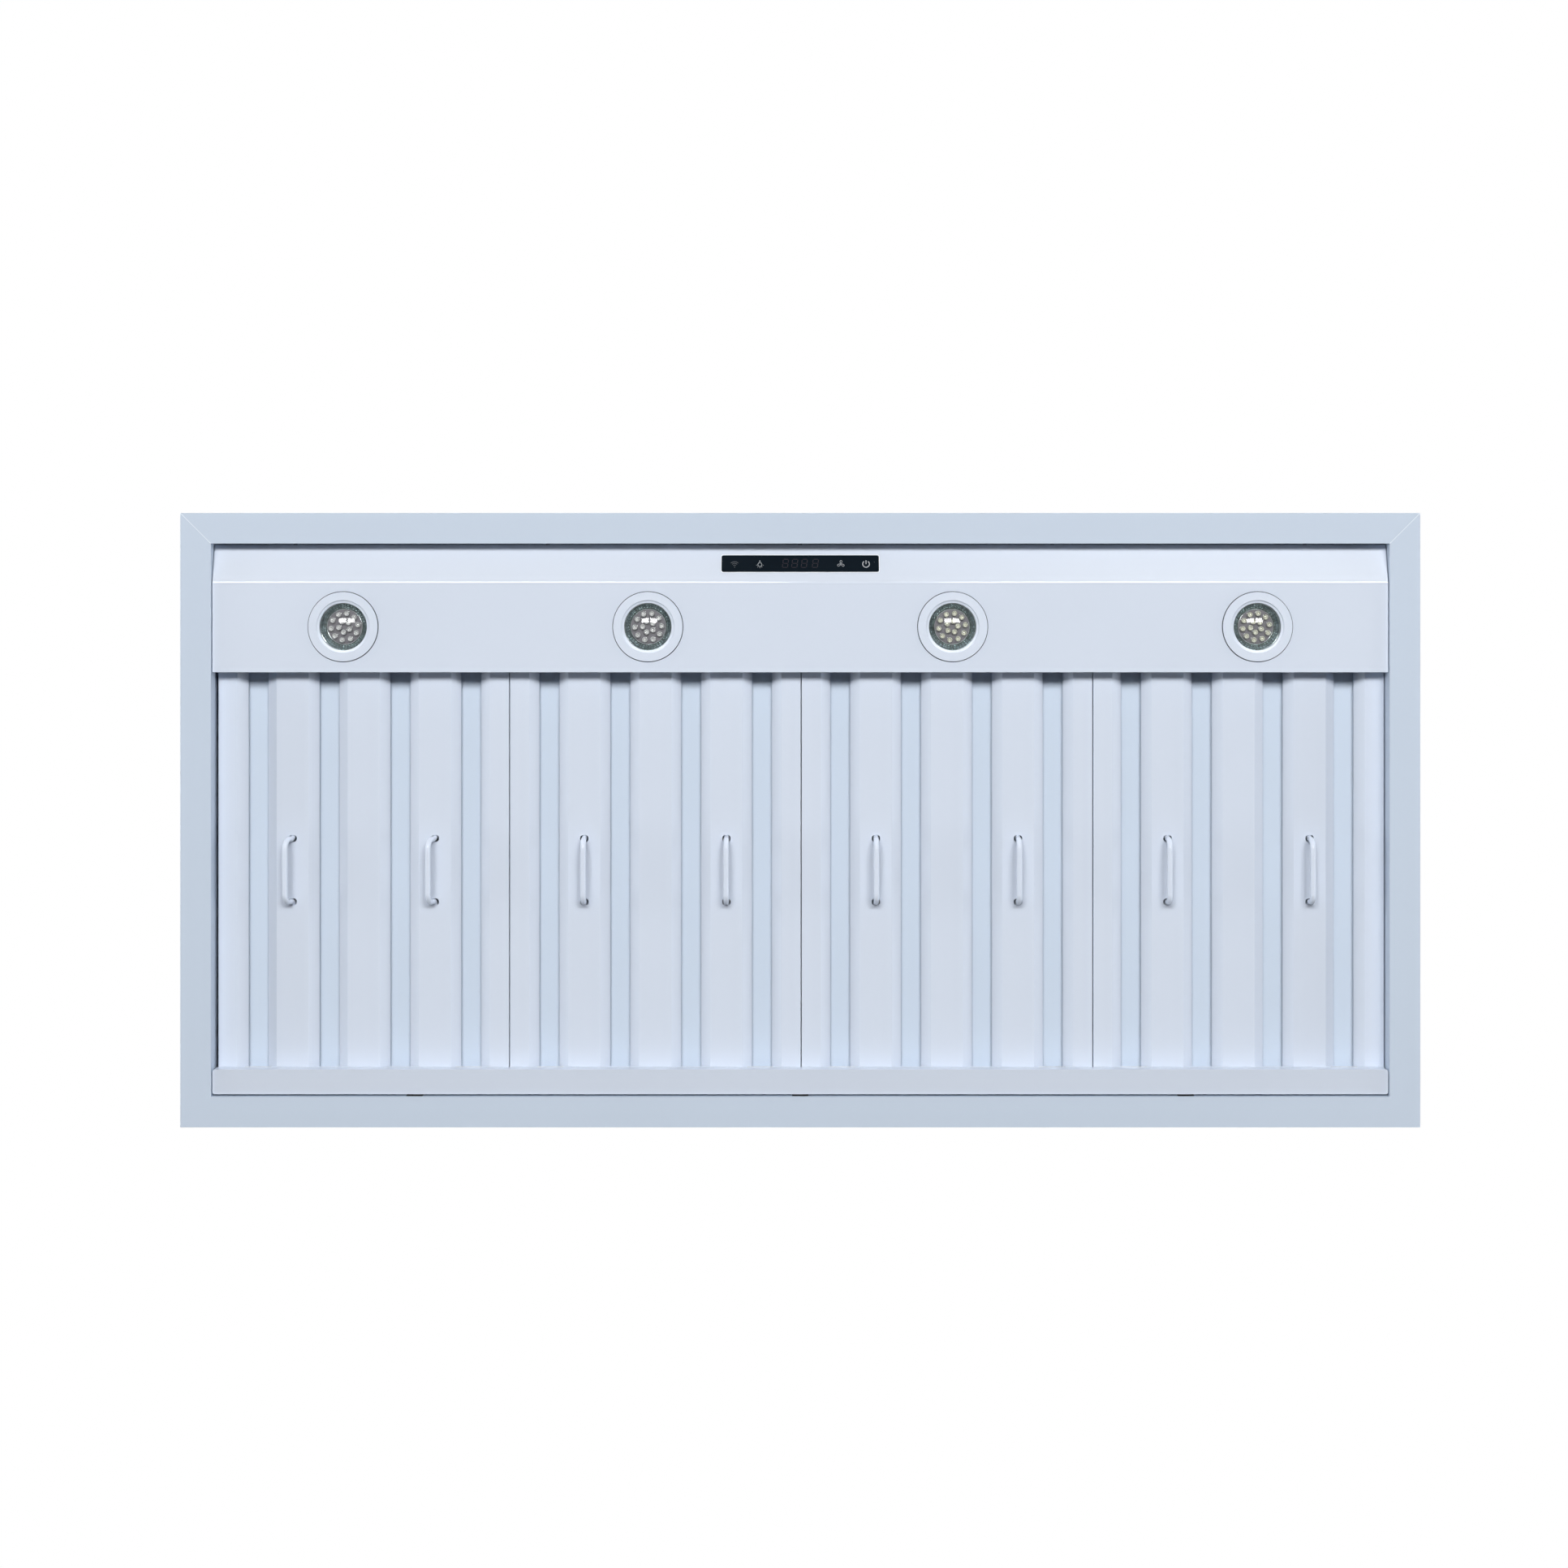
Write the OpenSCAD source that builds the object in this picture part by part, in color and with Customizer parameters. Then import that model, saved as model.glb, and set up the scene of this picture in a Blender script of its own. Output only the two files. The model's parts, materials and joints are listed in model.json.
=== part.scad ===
// Wall mount range hood, 48 inch class: a welded pyramid canopy with a flat rim, a bent light
// panel with four lamps and a touch control, four baffle filters, a grease trough, a blower
// with a butterfly damper, and a two-part flue cover. Heights in the modules count up from the
// underside of the rim. The origin is the centre of the wall holes, on the wall plane.

/* [Canopy] */
// Overall width along the wall
hood_w = 1219; // [1190:1:1250]
// Overall depth from the wall to the front of the rim
hood_d = 604; // [590:1:640]
// Width of the flat rim under the canopy
rim_w = 30; // [26:1:34]
// Height of the upright band above the rim
apron_h = 60; // [50:1:70]
// Height of the canopy's flat top above the rim
canopy_h = 420; // [410:1:450]
// Width of the canopy's flat top
top_w = 340; // [334:1:380]
// Depth of the canopy's flat top
top_d = 310; // [306:1:330]
// Height of the return wall that stands on the rim's inner edge
return_h = 24; // [22:0.5:28]
// Thickness of the canopy sheet
shell_t = 1.2; // [1:0.1:1.6]
// Thickness of the back panel
back_t = 1.2; // [1:0.1:2]
// Radius of the air hole in the canopy's top
air_r = 98.6; // [98:0.1:99]

/* [Wall mount] */
// Height of the wall hole pattern's centre above the rim
wall_hole_h = 230; // [215:1:245]
// Distance between the wall holes along the wall
wall_hole_x = 500; // [440:1:540]
// Distance between the upper and the lower wall holes
wall_hole_z = 120; // [100:1:130]
// Radius of a wall hole
wall_hole_r = 4; // [3:0.1:5]

/* [Light panel] */
// Thickness of the light panel's sheet
panel_t = 1; // [0.8:0.1:1.2]
// Height of the lamp band's underside above the rim's underside
panel_h = 3; // [2:0.1:4]
// Gap round the light panel inside the opening
panel_gap = 0.8; // [0.5:0.1:1.2]
// Depth of the slanted front band, measured level
slant_run = 37.4; // [34:0.1:40]
// Height that the slanted band climbs towards the front
slant_rise = 10; // [7:0.5:10]
// Depth of the flat lamp band
lamp_band = 88.6; // [84:0.1:94]
// Distance between neighbouring lamps
lamp_pitch = 300; // [280:1:310]
// Distance from the crease to the lamps' centres
lamp_set = 43.6; // [42:0.1:46]

/* [Lamps] */
// Radius of the trim ring's flange
trim_r = 34.6; // [34:0.1:36]
// How far the trim ring stands below the panel
trim_proud = 1.4; // [1:0.1:2]
// Inner radius of the trim ring's flat
trim_step_r = 26.2; // [26:0.1:27]
// Radius of the lamp's visible opening
lamp_open_r = 23.4; // [22.8:0.1:23.8]
// Inner radius of the trim ring's sleeve
sleeve_r = 25.4; // [25.3:0.1:25.8]
// Thickness of the trim ring's sleeve
sleeve_t = 1.8; // [1.5:0.1:2]
// Height of the trim ring's sleeve above the panel's underside
sleeve_h = 14; // [12:0.5:16]
// Radius of the dome of a lamp's glass
lens_round = 34; // [31:1:44]
// Radius of the round light board
board_r = 17.1; // [16.8:0.1:17.5]
// Radius of one light dome
dome_r = 2.5; // [2.2:0.1:2.7]
// Radius of the outer ring of light domes
dome_ring_r = 13.3; // [13:0.1:13.6]
// Radius of the inner ring of light domes
dome_core_r = 5.6; // [5.4:0.1:6]

/* [Touch control] */
// Width of the glass touch strip
glass_w = 155; // [140:1:170]
// Depth of the glass touch strip
glass_d = 16.4; // [14:0.1:18]
// Thickness of the glass touch strip
glass_t = 3; // [2.5:0.1:3.5]
// How far the glass stands below the slanted band
glass_proud = 0.8; // [0.5:0.1:1.2]

/* [Baffle filters] */
// Height of the baffles' lower face above the rim's underside
filter_h = 18; // [17:0.5:20]
// Height of a filter, over its upper and lower baffles
filter_th = 12.5; // [12:0.1:14]
// Thickness of the baffle sheet
filter_t = 0.8; // [0.6:0.1:1]
// Gap between two filters
filter_gap = 0.9; // [0.6:0.1:1.5]
// Gap between the outer filters and the sides of the opening
bank_gap = 2.1; // [1.5:0.1:3]
// How far the filters stand to the right of the middle
bank_shift = 1; // [0:0.1:1.2]
// Distance between neighbouring baffles in one layer
baffle_pitch = 70.4; // [69:0.1:71]
// Width of a baffle's flat face
baffle_flat = 31.8; // [30:0.1:34]
// Width of a baffle's bevel, seen from below
bevel_w = 9.4; // [9:0.1:10]
// Height of a baffle's bevel
bevel_h = 7; // [6:0.1:7.5]
// Height of a baffle's upright lip
lip_h = 1.2; // [1:0.1:1.6]
// How far a filter's ends reach over their ledges
end_lap = 12; // [10:0.5:12]
// Gap under a filter where it rests on a ledge
seat_gap = 0.2; // [0.1:0.05:0.3]
// Thickness of the rear ledge
ledge_t = 1.2; // [1:0.1:1.5]
// Width of one tab of the rear ledge
ledge_tab_w = 26; // [20:1:34]

/* [Filter handles] */
// Radius of the handle's wire
wire_r = 2.7; // [2.4:0.1:2.8]
// Distance between a handle's legs
handle_span = 62; // [58:1:70]
// Distance from a baffle's face down to the middle of the handle's bar
handle_drop = 15; // [14:0.5:18]
// Radius of the bends beside the bar
handle_bend = 9; // [8:0.5:10]
// Length of the foot that holds a leg inside the baffle
foot_len = 8; // [6:0.5:10]
// Distance from the wall to the handles' middle
handle_y = 251; // [240:1:262]
// Lean of the handles of the left filter, as they were left
handle_lean = 15; // [5:1:16]

/* [Grease trough] */
// Depth of the trough, front to back
trough_d = 24.4; // [22:0.1:26]
// Height of the trough's walls
trough_h = 12.4; // [10:0.1:12.5]
// Thickness of the trough's sheet
trough_t = 0.9; // [0.7:0.1:1.1]
// Gap between the trough and the rear return wall
trough_gap = 2; // [1.8:0.1:2.4]

/* [Blower] */
// Radius of the wheel
wheel_r = 118; // [112:1:120]
// Depth of the wheel's blades, along the radius
blade_d = 20; // [16:1:22]
// Number of blades in each half of the wheel
blade_n = 36; // [28:1:40]
// Half of the wheel's width
wheel_half = 73; // [66:1:73]
// Radius at which the housing's spiral starts
scroll_r = 135; // [132:1:138]
// How much the spiral grows in each quarter turn
scroll_grow = 14; // [12:0.5:15]
// Width inside the housing
housing_w = 168; // [166:1:168]
// Depth of the housing's outlet
outlet_d = 100; // [96:1:100]
// Thickness of the housing's sheet
housing_t = 1.2; // [1:0.1:1.5]
// Distance from the canopy's top down to the wheel's axis
blower_drop = 195; // [190:1:200]
// Radius of the throat of an inlet ring
throat_r = 92; // [88:1:94]
// Radius of the motor
motor_r = 48; // [42:1:52]
// Radius of the motor's shaft
shaft_r = 6; // [5:0.5:8]
// Gap round the shaft in the motor
shaft_gap = 0.05; // [0.02:0.01:0.09]

/* [Exhaust collar] */
// Outer radius of the collar, which takes the duct
collar_r = 101; // [100.8:0.1:102]
// Thickness of the collar's sheet
collar_t = 1; // [0.8:0.1:1.2]
// Height of the collar above the canopy's top
collar_h = 90; // [80:1:110]
// Height of the damper's pin above the canopy's top
pin_rise = 35; // [32:0.5:38]
// Radius of the damper's pin
pin_r = 2.5; // [2:0.1:3]
// Gap round the damper's flaps inside the collar
flap_gap = 2.5; // [2:0.1:4]
// Thickness of a damper flap
flap_t = 0.8; // [0.6:0.1:1]

/* [Flue cover] */
// Width of the lower flue cover
flue_w = 320; // [316:1:330]
// Depth of the lower flue cover
flue_d = 300; // [296:1:304]
// Thickness of the flue covers' sheet
flue_t = 0.8; // [0.7:0.1:1]
// Gap between the lower and the upper flue cover
flue_gap = 0.8; // [0.5:0.1:1.2]
// Width of the flanges against the wall
flue_lip = 14; // [10:1:18]
// Height of the lower flue cover
lower_h = 430; // [400:5:480]
// Height of the upper flue cover
upper_h = 430; // [400:5:480]
// How much of the upper flue cover shows above the lower one
upper_shows = 130; // [120:5:180]
// Number of vent slots in each side of the upper flue cover
vent_n = 5; // [3:1:6]

/* [Hidden] */
$fn = 96;
round_fn = 32;

// Colours of the finishes
coat = [0.84, 0.87, 0.92];
trim_coat = [0.87, 0.89, 0.92];
zinc = [0.72, 0.73, 0.75];
dark = [0.16, 0.17, 0.19];
black_glass = [0.07, 0.09, 0.12];
clear = [0.75, 0.85, 0.85, 0.4];

// Opening inside the rim
opening_w = hood_w - 2 * rim_w;
front_edge_y = -hood_d + rim_w;
rear_edge_y = -rim_w;

// Slopes of the canopy
rise = canopy_h - apron_h;
side_run = (hood_w - top_w) / 2;
front_run = hood_d - top_d;

// Light panel section
panel_front_y = front_edge_y + panel_gap;
crease_y = panel_front_y + slant_run;
panel_rear_y = crease_y + lamp_band;
panel_w = opening_w - 2 * panel_gap;
slant_angle = atan(slant_rise / slant_run);
lamp_y = crease_y + lamp_set;
lamp_n = 4;

// Filters
filter_n = 4;
slot_w = baffle_pitch - baffle_flat - 2 * bevel_w;
filter_w = (opening_w - 2 * bank_gap - (filter_n - 1) * filter_gap) / filter_n;
end_clear = 0.8;
filter_shift = end_lap + end_clear;
filter_front_y = panel_rear_y - end_lap;
filter_rear_y = rear_edge_y - ledge_t - end_clear - filter_shift;
ledge_top = filter_h - filter_t - seat_gap;

// Handles
foot_gap = 0.15;
foot_bend = 4;
pivot_h = filter_h + filter_t + foot_gap + wire_r;
handle_l = handle_drop + filter_t + foot_gap + wire_r;
handle_swing = 16;
slot_gap = 0.25;
foot_room = 0.8;

// Trough
trough_w = opening_w - 2 * panel_gap;
trough_front_y = rear_edge_y - trough_gap - trough_d;
trough_corner = 2.5;

// Blower
flue_y = -flue_d / 2;
outlet_flange = 14;
flange_t = 1.5;
deck_h = canopy_h - shell_t;
axis_h = canopy_h - blower_drop;
scroll_reach = scroll_r + 3 * scroll_grow;
axis_y = flue_y + outlet_d / 2 - scroll_reach;
housing_half = housing_w / 2 + housing_t;
bell_r = 8;
bell_t = 1.2;
bell_edge = 12;
arm_t = 2;
arm_n = 3;
arm_turn = 60;
arm_hole_r = 123;
arm_x = -housing_half - bell_t - arm_t;
wheel_disc_t = 2;
hub_r = 18;
hub_half = 12;
motor_gap = 4;
motor_front_x = -hub_half - motor_gap;
motor_len = 112;
shaft_in = 102;
shaft_out = 6;

// Screws
screw_r = 2;
screw_gap = 0.15;
head_r = 4;
head_h = 2.4;
head_round = 1;
thread_out = 2;
deck_screw_x = 92;
deck_screw_y = 59;

// Collar and damper
collar_plate = 107;
pin_h = canopy_h + pin_rise;
knuckle_r = 4.5;
knuckle_gap = 0.3;
pin_gap = 0.06;

// Junction box
box_w = 38;
box_d = 64;
box_h = 36;
box_t = 1.2;
lid_t = 1.5;
cable_r = 11;
box_x = 133;
box_y = -56;

// Helpers for bent sheet: a section is the list of points along one face, and the sheet's
// thickness lies to the left of the path, with mitred bends

function unit(v) = v / norm(v);
function left_of(v) = [-v[1], v[0]];
function other_face(p, t) = [
    for (i = [0:len(p) - 1])
        let (a = i > 0 ? unit(p[i] - p[i - 1]) : unit(p[1] - p[0]),
             b = i < len(p) - 1 ? unit(p[i + 1] - p[i]) : a)
        p[i] + (left_of(a) + left_of(b)) * t / (1 + a * b)];
function backwards(p) = [for (i = [len(p) - 1:-1:0]) p[i]];

module bent_sheet(p, t) {
    polygon(concat(p, backwards(other_face(p, t))));
}

// Puts the children's zero height at the underside of the rim
module from_rim() {
    translate([0, 0, -wall_hole_h]) children();
}

// Extrudes a section drawn in depth and height along the width, centred
module along_x(length) {
    translate([-length / 2, 0, 0]) rotate([90, 0, 90]) linear_extrude(length) children();
}

// Extrudes a section drawn in width and height from one depth to another
module along_y(y_low, y_high) {
    translate([0, y_high, 0]) rotate([90, 0, 0]) linear_extrude(y_high - y_low) children();
}

// A cylinder along the width, from one x to another
module rod_x(r, x_low, x_high) {
    translate([x_low, 0, 0]) rotate([0, 90, 0]) cylinder(r = r, h = x_high - x_low);
}

// A pan head screw: its head stands on z = 0 and its shank hangs below
module screw(shank) {
    cylinder(r = head_r, h = head_h - head_round, $fn = round_fn);
    translate([0, 0, head_h - head_round])
        cylinder(r1 = head_r, r2 = head_r - head_round, h = head_round, $fn = round_fn);
    translate([0, 0, -shank]) cylinder(r = screw_r, h = shank, $fn = round_fn);
}

// Canopy

function front_outline(t) =
    let (slope_t = t * norm([side_run, rise]) / rise,
         knee_h = apron_h + (t - slope_t) * rise / side_run,
         low_x = hood_w / 2 - t,
         high_x = top_w / 2 - slope_t)
    [[-low_x, 0], [low_x, 0], [low_x, knee_h], [high_x, canopy_h],
     [-high_x, canopy_h], [-low_x, knee_h]];

function side_outline(t, back_y) =
    let (slope_t = t * norm([front_run, rise]) / rise,
         knee_h = apron_h + (t - slope_t) * rise / front_run)
    [[back_y, 0], [back_y, canopy_h], [-top_d + slope_t, canopy_h],
     [-hood_d + t, knee_h], [-hood_d + t, 0]];

// The space inside the canopy's outer faces, drawn in by t and reaching to back_y
module canopy_form(t, back_y) {
    intersection() {
        along_y(-hood_d - 1, back_y) polygon(front_outline(t));
        along_x(hood_w + 2) polygon(side_outline(t, back_y));
    }
}

// Plan of the opening inside the rim, grown by t
module opening_plan(t) {
    translate([0, -hood_d / 2]) square([opening_w + 2 * t, hood_d - 2 * rim_w + 2 * t], center = true);
}

module deck_screw_sites() {
    for (x = [-1, 1], y = [-1, 1])
        translate([x * deck_screw_x, flue_y + y * deck_screw_y]) children();
}

panel_screw_n = 5;
panel_screw_pitch = 250;
panel_screw_h = return_h - 5.5;

// Screws that hold the light panel's front flange to the return wall
module panel_screw_sites() {
    for (i = [0:panel_screw_n - 1])
        translate([(i - (panel_screw_n - 1) / 2) * panel_screw_pitch, panel_front_y + panel_t,
            panel_screw_h]) rotate([-90, 0, 0]) children();
}

module canopy_shell() {
    color(coat) from_rim() {
        difference() {
            canopy_form(0, 0);
            intersection() {
                canopy_form(shell_t, 1);
                translate([-hood_w / 2, -hood_d, shell_t])
                    cube([hood_w, hood_d + 2, deck_h - shell_t]);
            }
            translate([0, 0, -1]) linear_extrude(2 * shell_t + 1) opening_plan(0);
            translate([0, flue_y, deck_h - 1]) cylinder(r = air_r, h = shell_t + 2);
            translate([0, 0, deck_h - 1]) linear_extrude(shell_t + 2)
                deck_screw_sites() circle(screw_r + screw_gap, $fn = round_fn);
        }
        difference() {
            linear_extrude(return_h) opening_plan(shell_t);
            translate([0, 0, -1]) linear_extrude(return_h + 2) opening_plan(0);
            panel_screw_sites() translate([0, 0, -10])
                cylinder(r = screw_r + screw_gap, h = 10, $fn = round_fn);
        }
    }
}

module wall_hole_sites() {
    for (x = [-1, 1], z = [-1, 1])
        translate([x * wall_hole_x / 2, wall_hole_h + z * wall_hole_z / 2]) children();
}

module back_panel() {
    color(coat) from_rim() along_y(-back_t, 0) difference() {
        intersection() {
            polygon(front_outline(shell_t));
            translate([-hood_w / 2, shell_t]) square([hood_w, deck_h - shell_t]);
        }
        wall_hole_sites() circle(wall_hole_r);
    }
}

// Light panel

light_panel_path = [
    [panel_front_y, return_h - 1],
    [panel_front_y, panel_h + slant_rise],
    [crease_y, panel_h],
    [panel_rear_y, panel_h],
    [panel_rear_y, ledge_top],
    [panel_rear_y - end_lap - 1, ledge_top]];

light_panel_end = [
    [panel_front_y, panel_h + slant_rise],
    [crease_y, panel_h],
    [panel_rear_y, panel_h],
    [panel_rear_y, ledge_top],
    [panel_front_y, ledge_top]];

// Puts the children on the slanted band: x along it, y down it, z into the canopy
module on_slant() {
    translate([0, panel_front_y + slant_run / 2, panel_h + slant_rise / 2])
        rotate([-slant_angle, 0, 0]) children();
}

// Plan of the glass strip with its rounded corners, grown by t
module glass_plan(t) {
    corner = 2;
    for (s = [-1, 1])
        translate([s * (glass_w / 2 - corner), 0]) for (u = [-1, 1])
            translate([0, u * (glass_d / 2 - corner)]) circle(corner + t, $fn = round_fn);
    square([glass_w + 2 * t, glass_d - 2 * corner], center = true);
    square([glass_w - 2 * corner, glass_d + 2 * t], center = true);
}

glass_gap = 0.3;
sleeve_gap = 0.4;

module lamp_sites() {
    for (i = [1:lamp_n]) translate([lamp_x(i), lamp_y, panel_h]) children();
}

function lamp_x(i) = (i - (lamp_n + 1) / 2) * lamp_pitch;

module light_panel() {
    color(coat) from_rim() difference() {
        union() {
            along_x(panel_w) bent_sheet(light_panel_path, panel_t);
            for (s = [-1, 1]) translate([s * (panel_w - panel_t) / 2, 0, 0])
                along_x(panel_t) polygon(light_panel_end);
        }
        lamp_sites() translate([0, 0, -1])
            cylinder(r = sleeve_r + sleeve_t + sleeve_gap, h = panel_t + 2);
        on_slant() translate([0, 0, -1]) linear_extrude(panel_t + 2) glass_plan(glass_gap);
        panel_screw_sites() translate([0, 0, -panel_t - 1])
            cylinder(r = screw_r + screw_gap, h = panel_t + 2, $fn = round_fn);
    }
}

module light_panel_screws() {
    color(zinc) from_rim() panel_screw_sites() screw(panel_t + panel_gap + shell_t + thread_out);
}

// Touch control

module control_glass() {
    color(black_glass) from_rim() on_slant()
        translate([0, 0, -glass_proud]) linear_extrude(glass_t) glass_plan(0);
}

module control_housing() {
    over_x = 4;
    over_y = 2.5;
    housing_deep = 12;
    pocket = glass_t - glass_proud + 0.2;
    color(dark) from_rim() on_slant() difference() {
        translate([-glass_w / 2 - over_x, -glass_d / 2 - over_y, panel_t])
            cube([glass_w + 2 * over_x, glass_d + 2 * over_y, housing_deep]);
        linear_extrude(pocket) glass_plan(glass_gap);
    }
}

// Lamps, each drawn with its axis at the origin and the panel's underside at zero

lens_h = 3.4;
lens_t = 1.2;
lens_r = sleeve_r - 0.6;
lens_dome_r = lamp_open_r - 0.8;
cup_low = lens_h + lens_t + 0.2;
board_h = 9;
board_t = 1.6;
dome_fn = 24;
ball_fn = 72;

module lamp_trim_form() {
    sleeve_out = sleeve_r + sleeve_t;
    flange_top = -0.1;
    edge = 0.6;
    lip_top = -trim_proud + 1.4;
    seat = lens_h - 0.2;
    rotate_extrude() polygon([
        [trim_r, flange_top], [trim_r, -trim_proud + edge], [trim_r - edge, -trim_proud],
        [trim_step_r, -trim_proud], [trim_step_r - 0.8, lip_top - 0.4],
        [lamp_open_r, lip_top], [lamp_open_r, seat], [sleeve_r, seat],
        [sleeve_r, sleeve_h], [sleeve_out, sleeve_h], [sleeve_out, flange_top]]);
    // Two leaf springs that press on the upper side of the panel
    spring_w = 7;
    spring_t = 0.6;
    spring_end = sleeve_out + 12;
    spring_root = sleeve_out - 0.2;
    spring_rest = panel_t + spring_t + 0.1;
    for (s = [0, 180]) rotate([0, 0, s]) along_x(spring_w)
        bent_sheet([
            [spring_end, spring_rest + 0.6], [spring_end - 3, spring_rest],
            [spring_root, sleeve_h - spring_t], [spring_root, sleeve_h - 3]], spring_t);
}

// The cup behind the lens widens towards the front and ends in a ceramic neck
module lamp_bulb_form() {
    rim_r = sleeve_r - 0.4;
    rim_h = 2.4;
    waist_h = 9;
    cup_h = 19;
    neck_r = 10;
    neck_low = 25;
    neck_top = 38;
    seat_r = board_r + 0.5;
    seat_top = board_h + board_t + 0.2;
    rotate_extrude() polygon([
        [rim_r, cup_low], [rim_r, cup_low + rim_h], [rim_r - 3, cup_low + waist_h],
        [rim_r - 10, cup_low + cup_h], [neck_r + 1, cup_low + neck_low],
        [neck_r, cup_low + neck_top], [0, cup_low + neck_top],
        [0, seat_top], [seat_r, seat_top], [seat_r, board_h - 0.4], [rim_r - 1.6, cup_low]]);
    // The two contact pins
    pin_r = 1.2;
    pin_l = 6;
    pin_x = 5;
    for (s = [-1, 1]) translate([s * pin_x, 0, cup_low + neck_top])
        cylinder(r = pin_r, h = pin_l, $fn = round_fn);
}

module light_dome() {
    dome_h = 2.4;
    translate([0, 0, board_h - dome_h]) cylinder(r = dome_r, h = dome_h + 0.1, $fn = dome_fn);
    translate([0, 0, board_h - dome_h]) sphere(dome_r, $fn = dome_fn);
}

module lamp_leds_form() {
    outer_n = 10;
    inner_n = 5;
    translate([0, 0, board_h]) cylinder(r = board_r, h = board_t);
    for (i = [0:outer_n - 1]) rotate([0, 0, i * 360 / outer_n])
        translate([dome_ring_r, 0, 0]) light_dome();
    for (i = [0:inner_n - 1]) rotate([0, 0, i * 360 / inner_n + 90])
        translate([dome_core_r, 0, 0]) light_dome();
}

// A dome cut from a hollow ball, with a flat rim that rests in the trim ring
module lamp_glass_form() {
    ball_h = lens_h + sqrt(pow(lens_round, 2) - pow(lens_dome_r, 2));
    ball_low = ball_h - lens_round;
    intersection() {
        translate([0, 0, ball_h]) difference() {
            sphere(lens_round, $fn = ball_fn);
            sphere(lens_round - lens_t, $fn = ball_fn);
        }
        translate([0, 0, ball_low - 1]) cylinder(r = lens_dome_r, h = lens_h + lens_t - ball_low + 1);
    }
    translate([0, 0, lens_h]) linear_extrude(lens_t) difference() {
        circle(lens_r);
        circle(lens_dome_r - lens_t / 2);
    }
}

module at_lamp(i) {
    from_rim() translate([lamp_x(i), lamp_y, panel_h]) children();
}

module lamp_part(i, part) {
    if (part == "trim") color(trim_coat) at_lamp(i) lamp_trim_form();
    if (part == "bulb") color(zinc) at_lamp(i) lamp_bulb_form();
    if (part == "leds") color([0.78, 0.75, 0.72]) at_lamp(i) lamp_leds_form();
    if (part == "glass") color(clear) at_lamp(i) lamp_glass_form();
}

// Baffle filters, drawn with the width's middle at zero

function filter_x(i) = bank_shift + (i - (filter_n + 1) / 2) * (filter_w + filter_gap);

baffle_half = baffle_flat / 2 + bevel_w;

// Section of a lower baffle, open upwards
lower_baffle = [
    [-baffle_half, bevel_h + lip_h], [-baffle_half, bevel_h], [-baffle_flat / 2, 0],
    [baffle_flat / 2, 0], [baffle_half, bevel_h], [baffle_half, bevel_h + lip_h]];

// Section of an upper baffle, open downwards
upper_baffle = [
    [baffle_half, filter_th - bevel_h - lip_h], [baffle_half, filter_th - bevel_h],
    [baffle_flat / 2, filter_th], [-baffle_flat / 2, filter_th],
    [-baffle_half, filter_th - bevel_h], [-baffle_half, filter_th - bevel_h - lip_h]];

// Section of the half baffle that is also the filter's left side
side_flange = 9;
drain_r = 2;
side_lip_x = -1.5 * baffle_pitch - slot_w / 2;
side_baffle = [
    [-filter_w / 2 + side_flange, filter_th], [-filter_w / 2, filter_th], [-filter_w / 2, 0],
    [side_lip_x - bevel_w, 0], [side_lip_x, bevel_h], [side_lip_x, bevel_h + lip_h]];

// Channel along one end: web at the end, flanges over and under the baffles
end_channel = [
    [end_lap, filter_th + filter_t], [0, filter_th + filter_t], [0, -filter_t], [end_lap, -filter_t]];

// The two slots that a handle's legs pass through
module handle_slots() {
    swing_room = (pivot_h - filter_h) * tan(handle_swing) + wire_r / cos(handle_swing) - wire_r;
    slot_r = wire_r + slot_gap;
    for (s = [0, 1]) mirror([0, s]) translate([0, handle_span / 2]) {
        for (u = [-1, 1], v = [0, foot_room])
            translate([u * swing_room, v]) circle(slot_r, $fn = round_fn);
        translate([-swing_room, -slot_r]) square([2 * swing_room, 2 * slot_r + foot_room]);
        translate([-swing_room - slot_r, 0]) square([2 * (swing_room + slot_r), foot_room]);
    }
}

module filter_frame_form() {
    difference() {
        union() {
            for (k = [-1:1]) translate([k * baffle_pitch, 0, 0])
                along_y(filter_front_y + filter_t, filter_rear_y - filter_t)
                    bent_sheet(lower_baffle, filter_t);
            for (s = [0, 1]) mirror([s, 0, 0])
                along_y(filter_front_y + filter_t, filter_rear_y - filter_t)
                    bent_sheet(side_baffle, filter_t);
            translate([0, filter_front_y, 0]) along_x(filter_w)
                bent_sheet(end_channel, filter_t);
            translate([0, filter_rear_y, 0]) mirror([0, 1, 0]) along_x(filter_w)
                bent_sheet(end_channel, filter_t);
        }
        // Slots for the handles
        for (k = [-1, 1]) translate([k * baffle_pitch, -handle_y, -1])
            linear_extrude(filter_t + 2) handle_slots();
        // Drain holes over the trough
        for (k = [-1.5:1:1.5])
            translate([k * baffle_pitch, filter_rear_y - end_lap / 2, -filter_t - 1])
                cylinder(r = drain_r, h = filter_t + 2, $fn = round_fn);
    }
}

module upper_baffles_form() {
    for (k = [-1.5:1:1.5]) translate([k * baffle_pitch, 0, 0])
        along_y(filter_front_y + filter_t, filter_rear_y - filter_t)
            bent_sheet(upper_baffle, filter_t);
}

// A quarter bend of wire in the plane of y and z, from the +y direction to the +z direction
module wire_bend(bend, turn) {
    rotate([turn, 0, 0]) rotate([90, 0, 90])
        rotate_extrude(angle = 90) translate([bend, 0]) circle(wire_r, $fn = round_fn);
}

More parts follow.
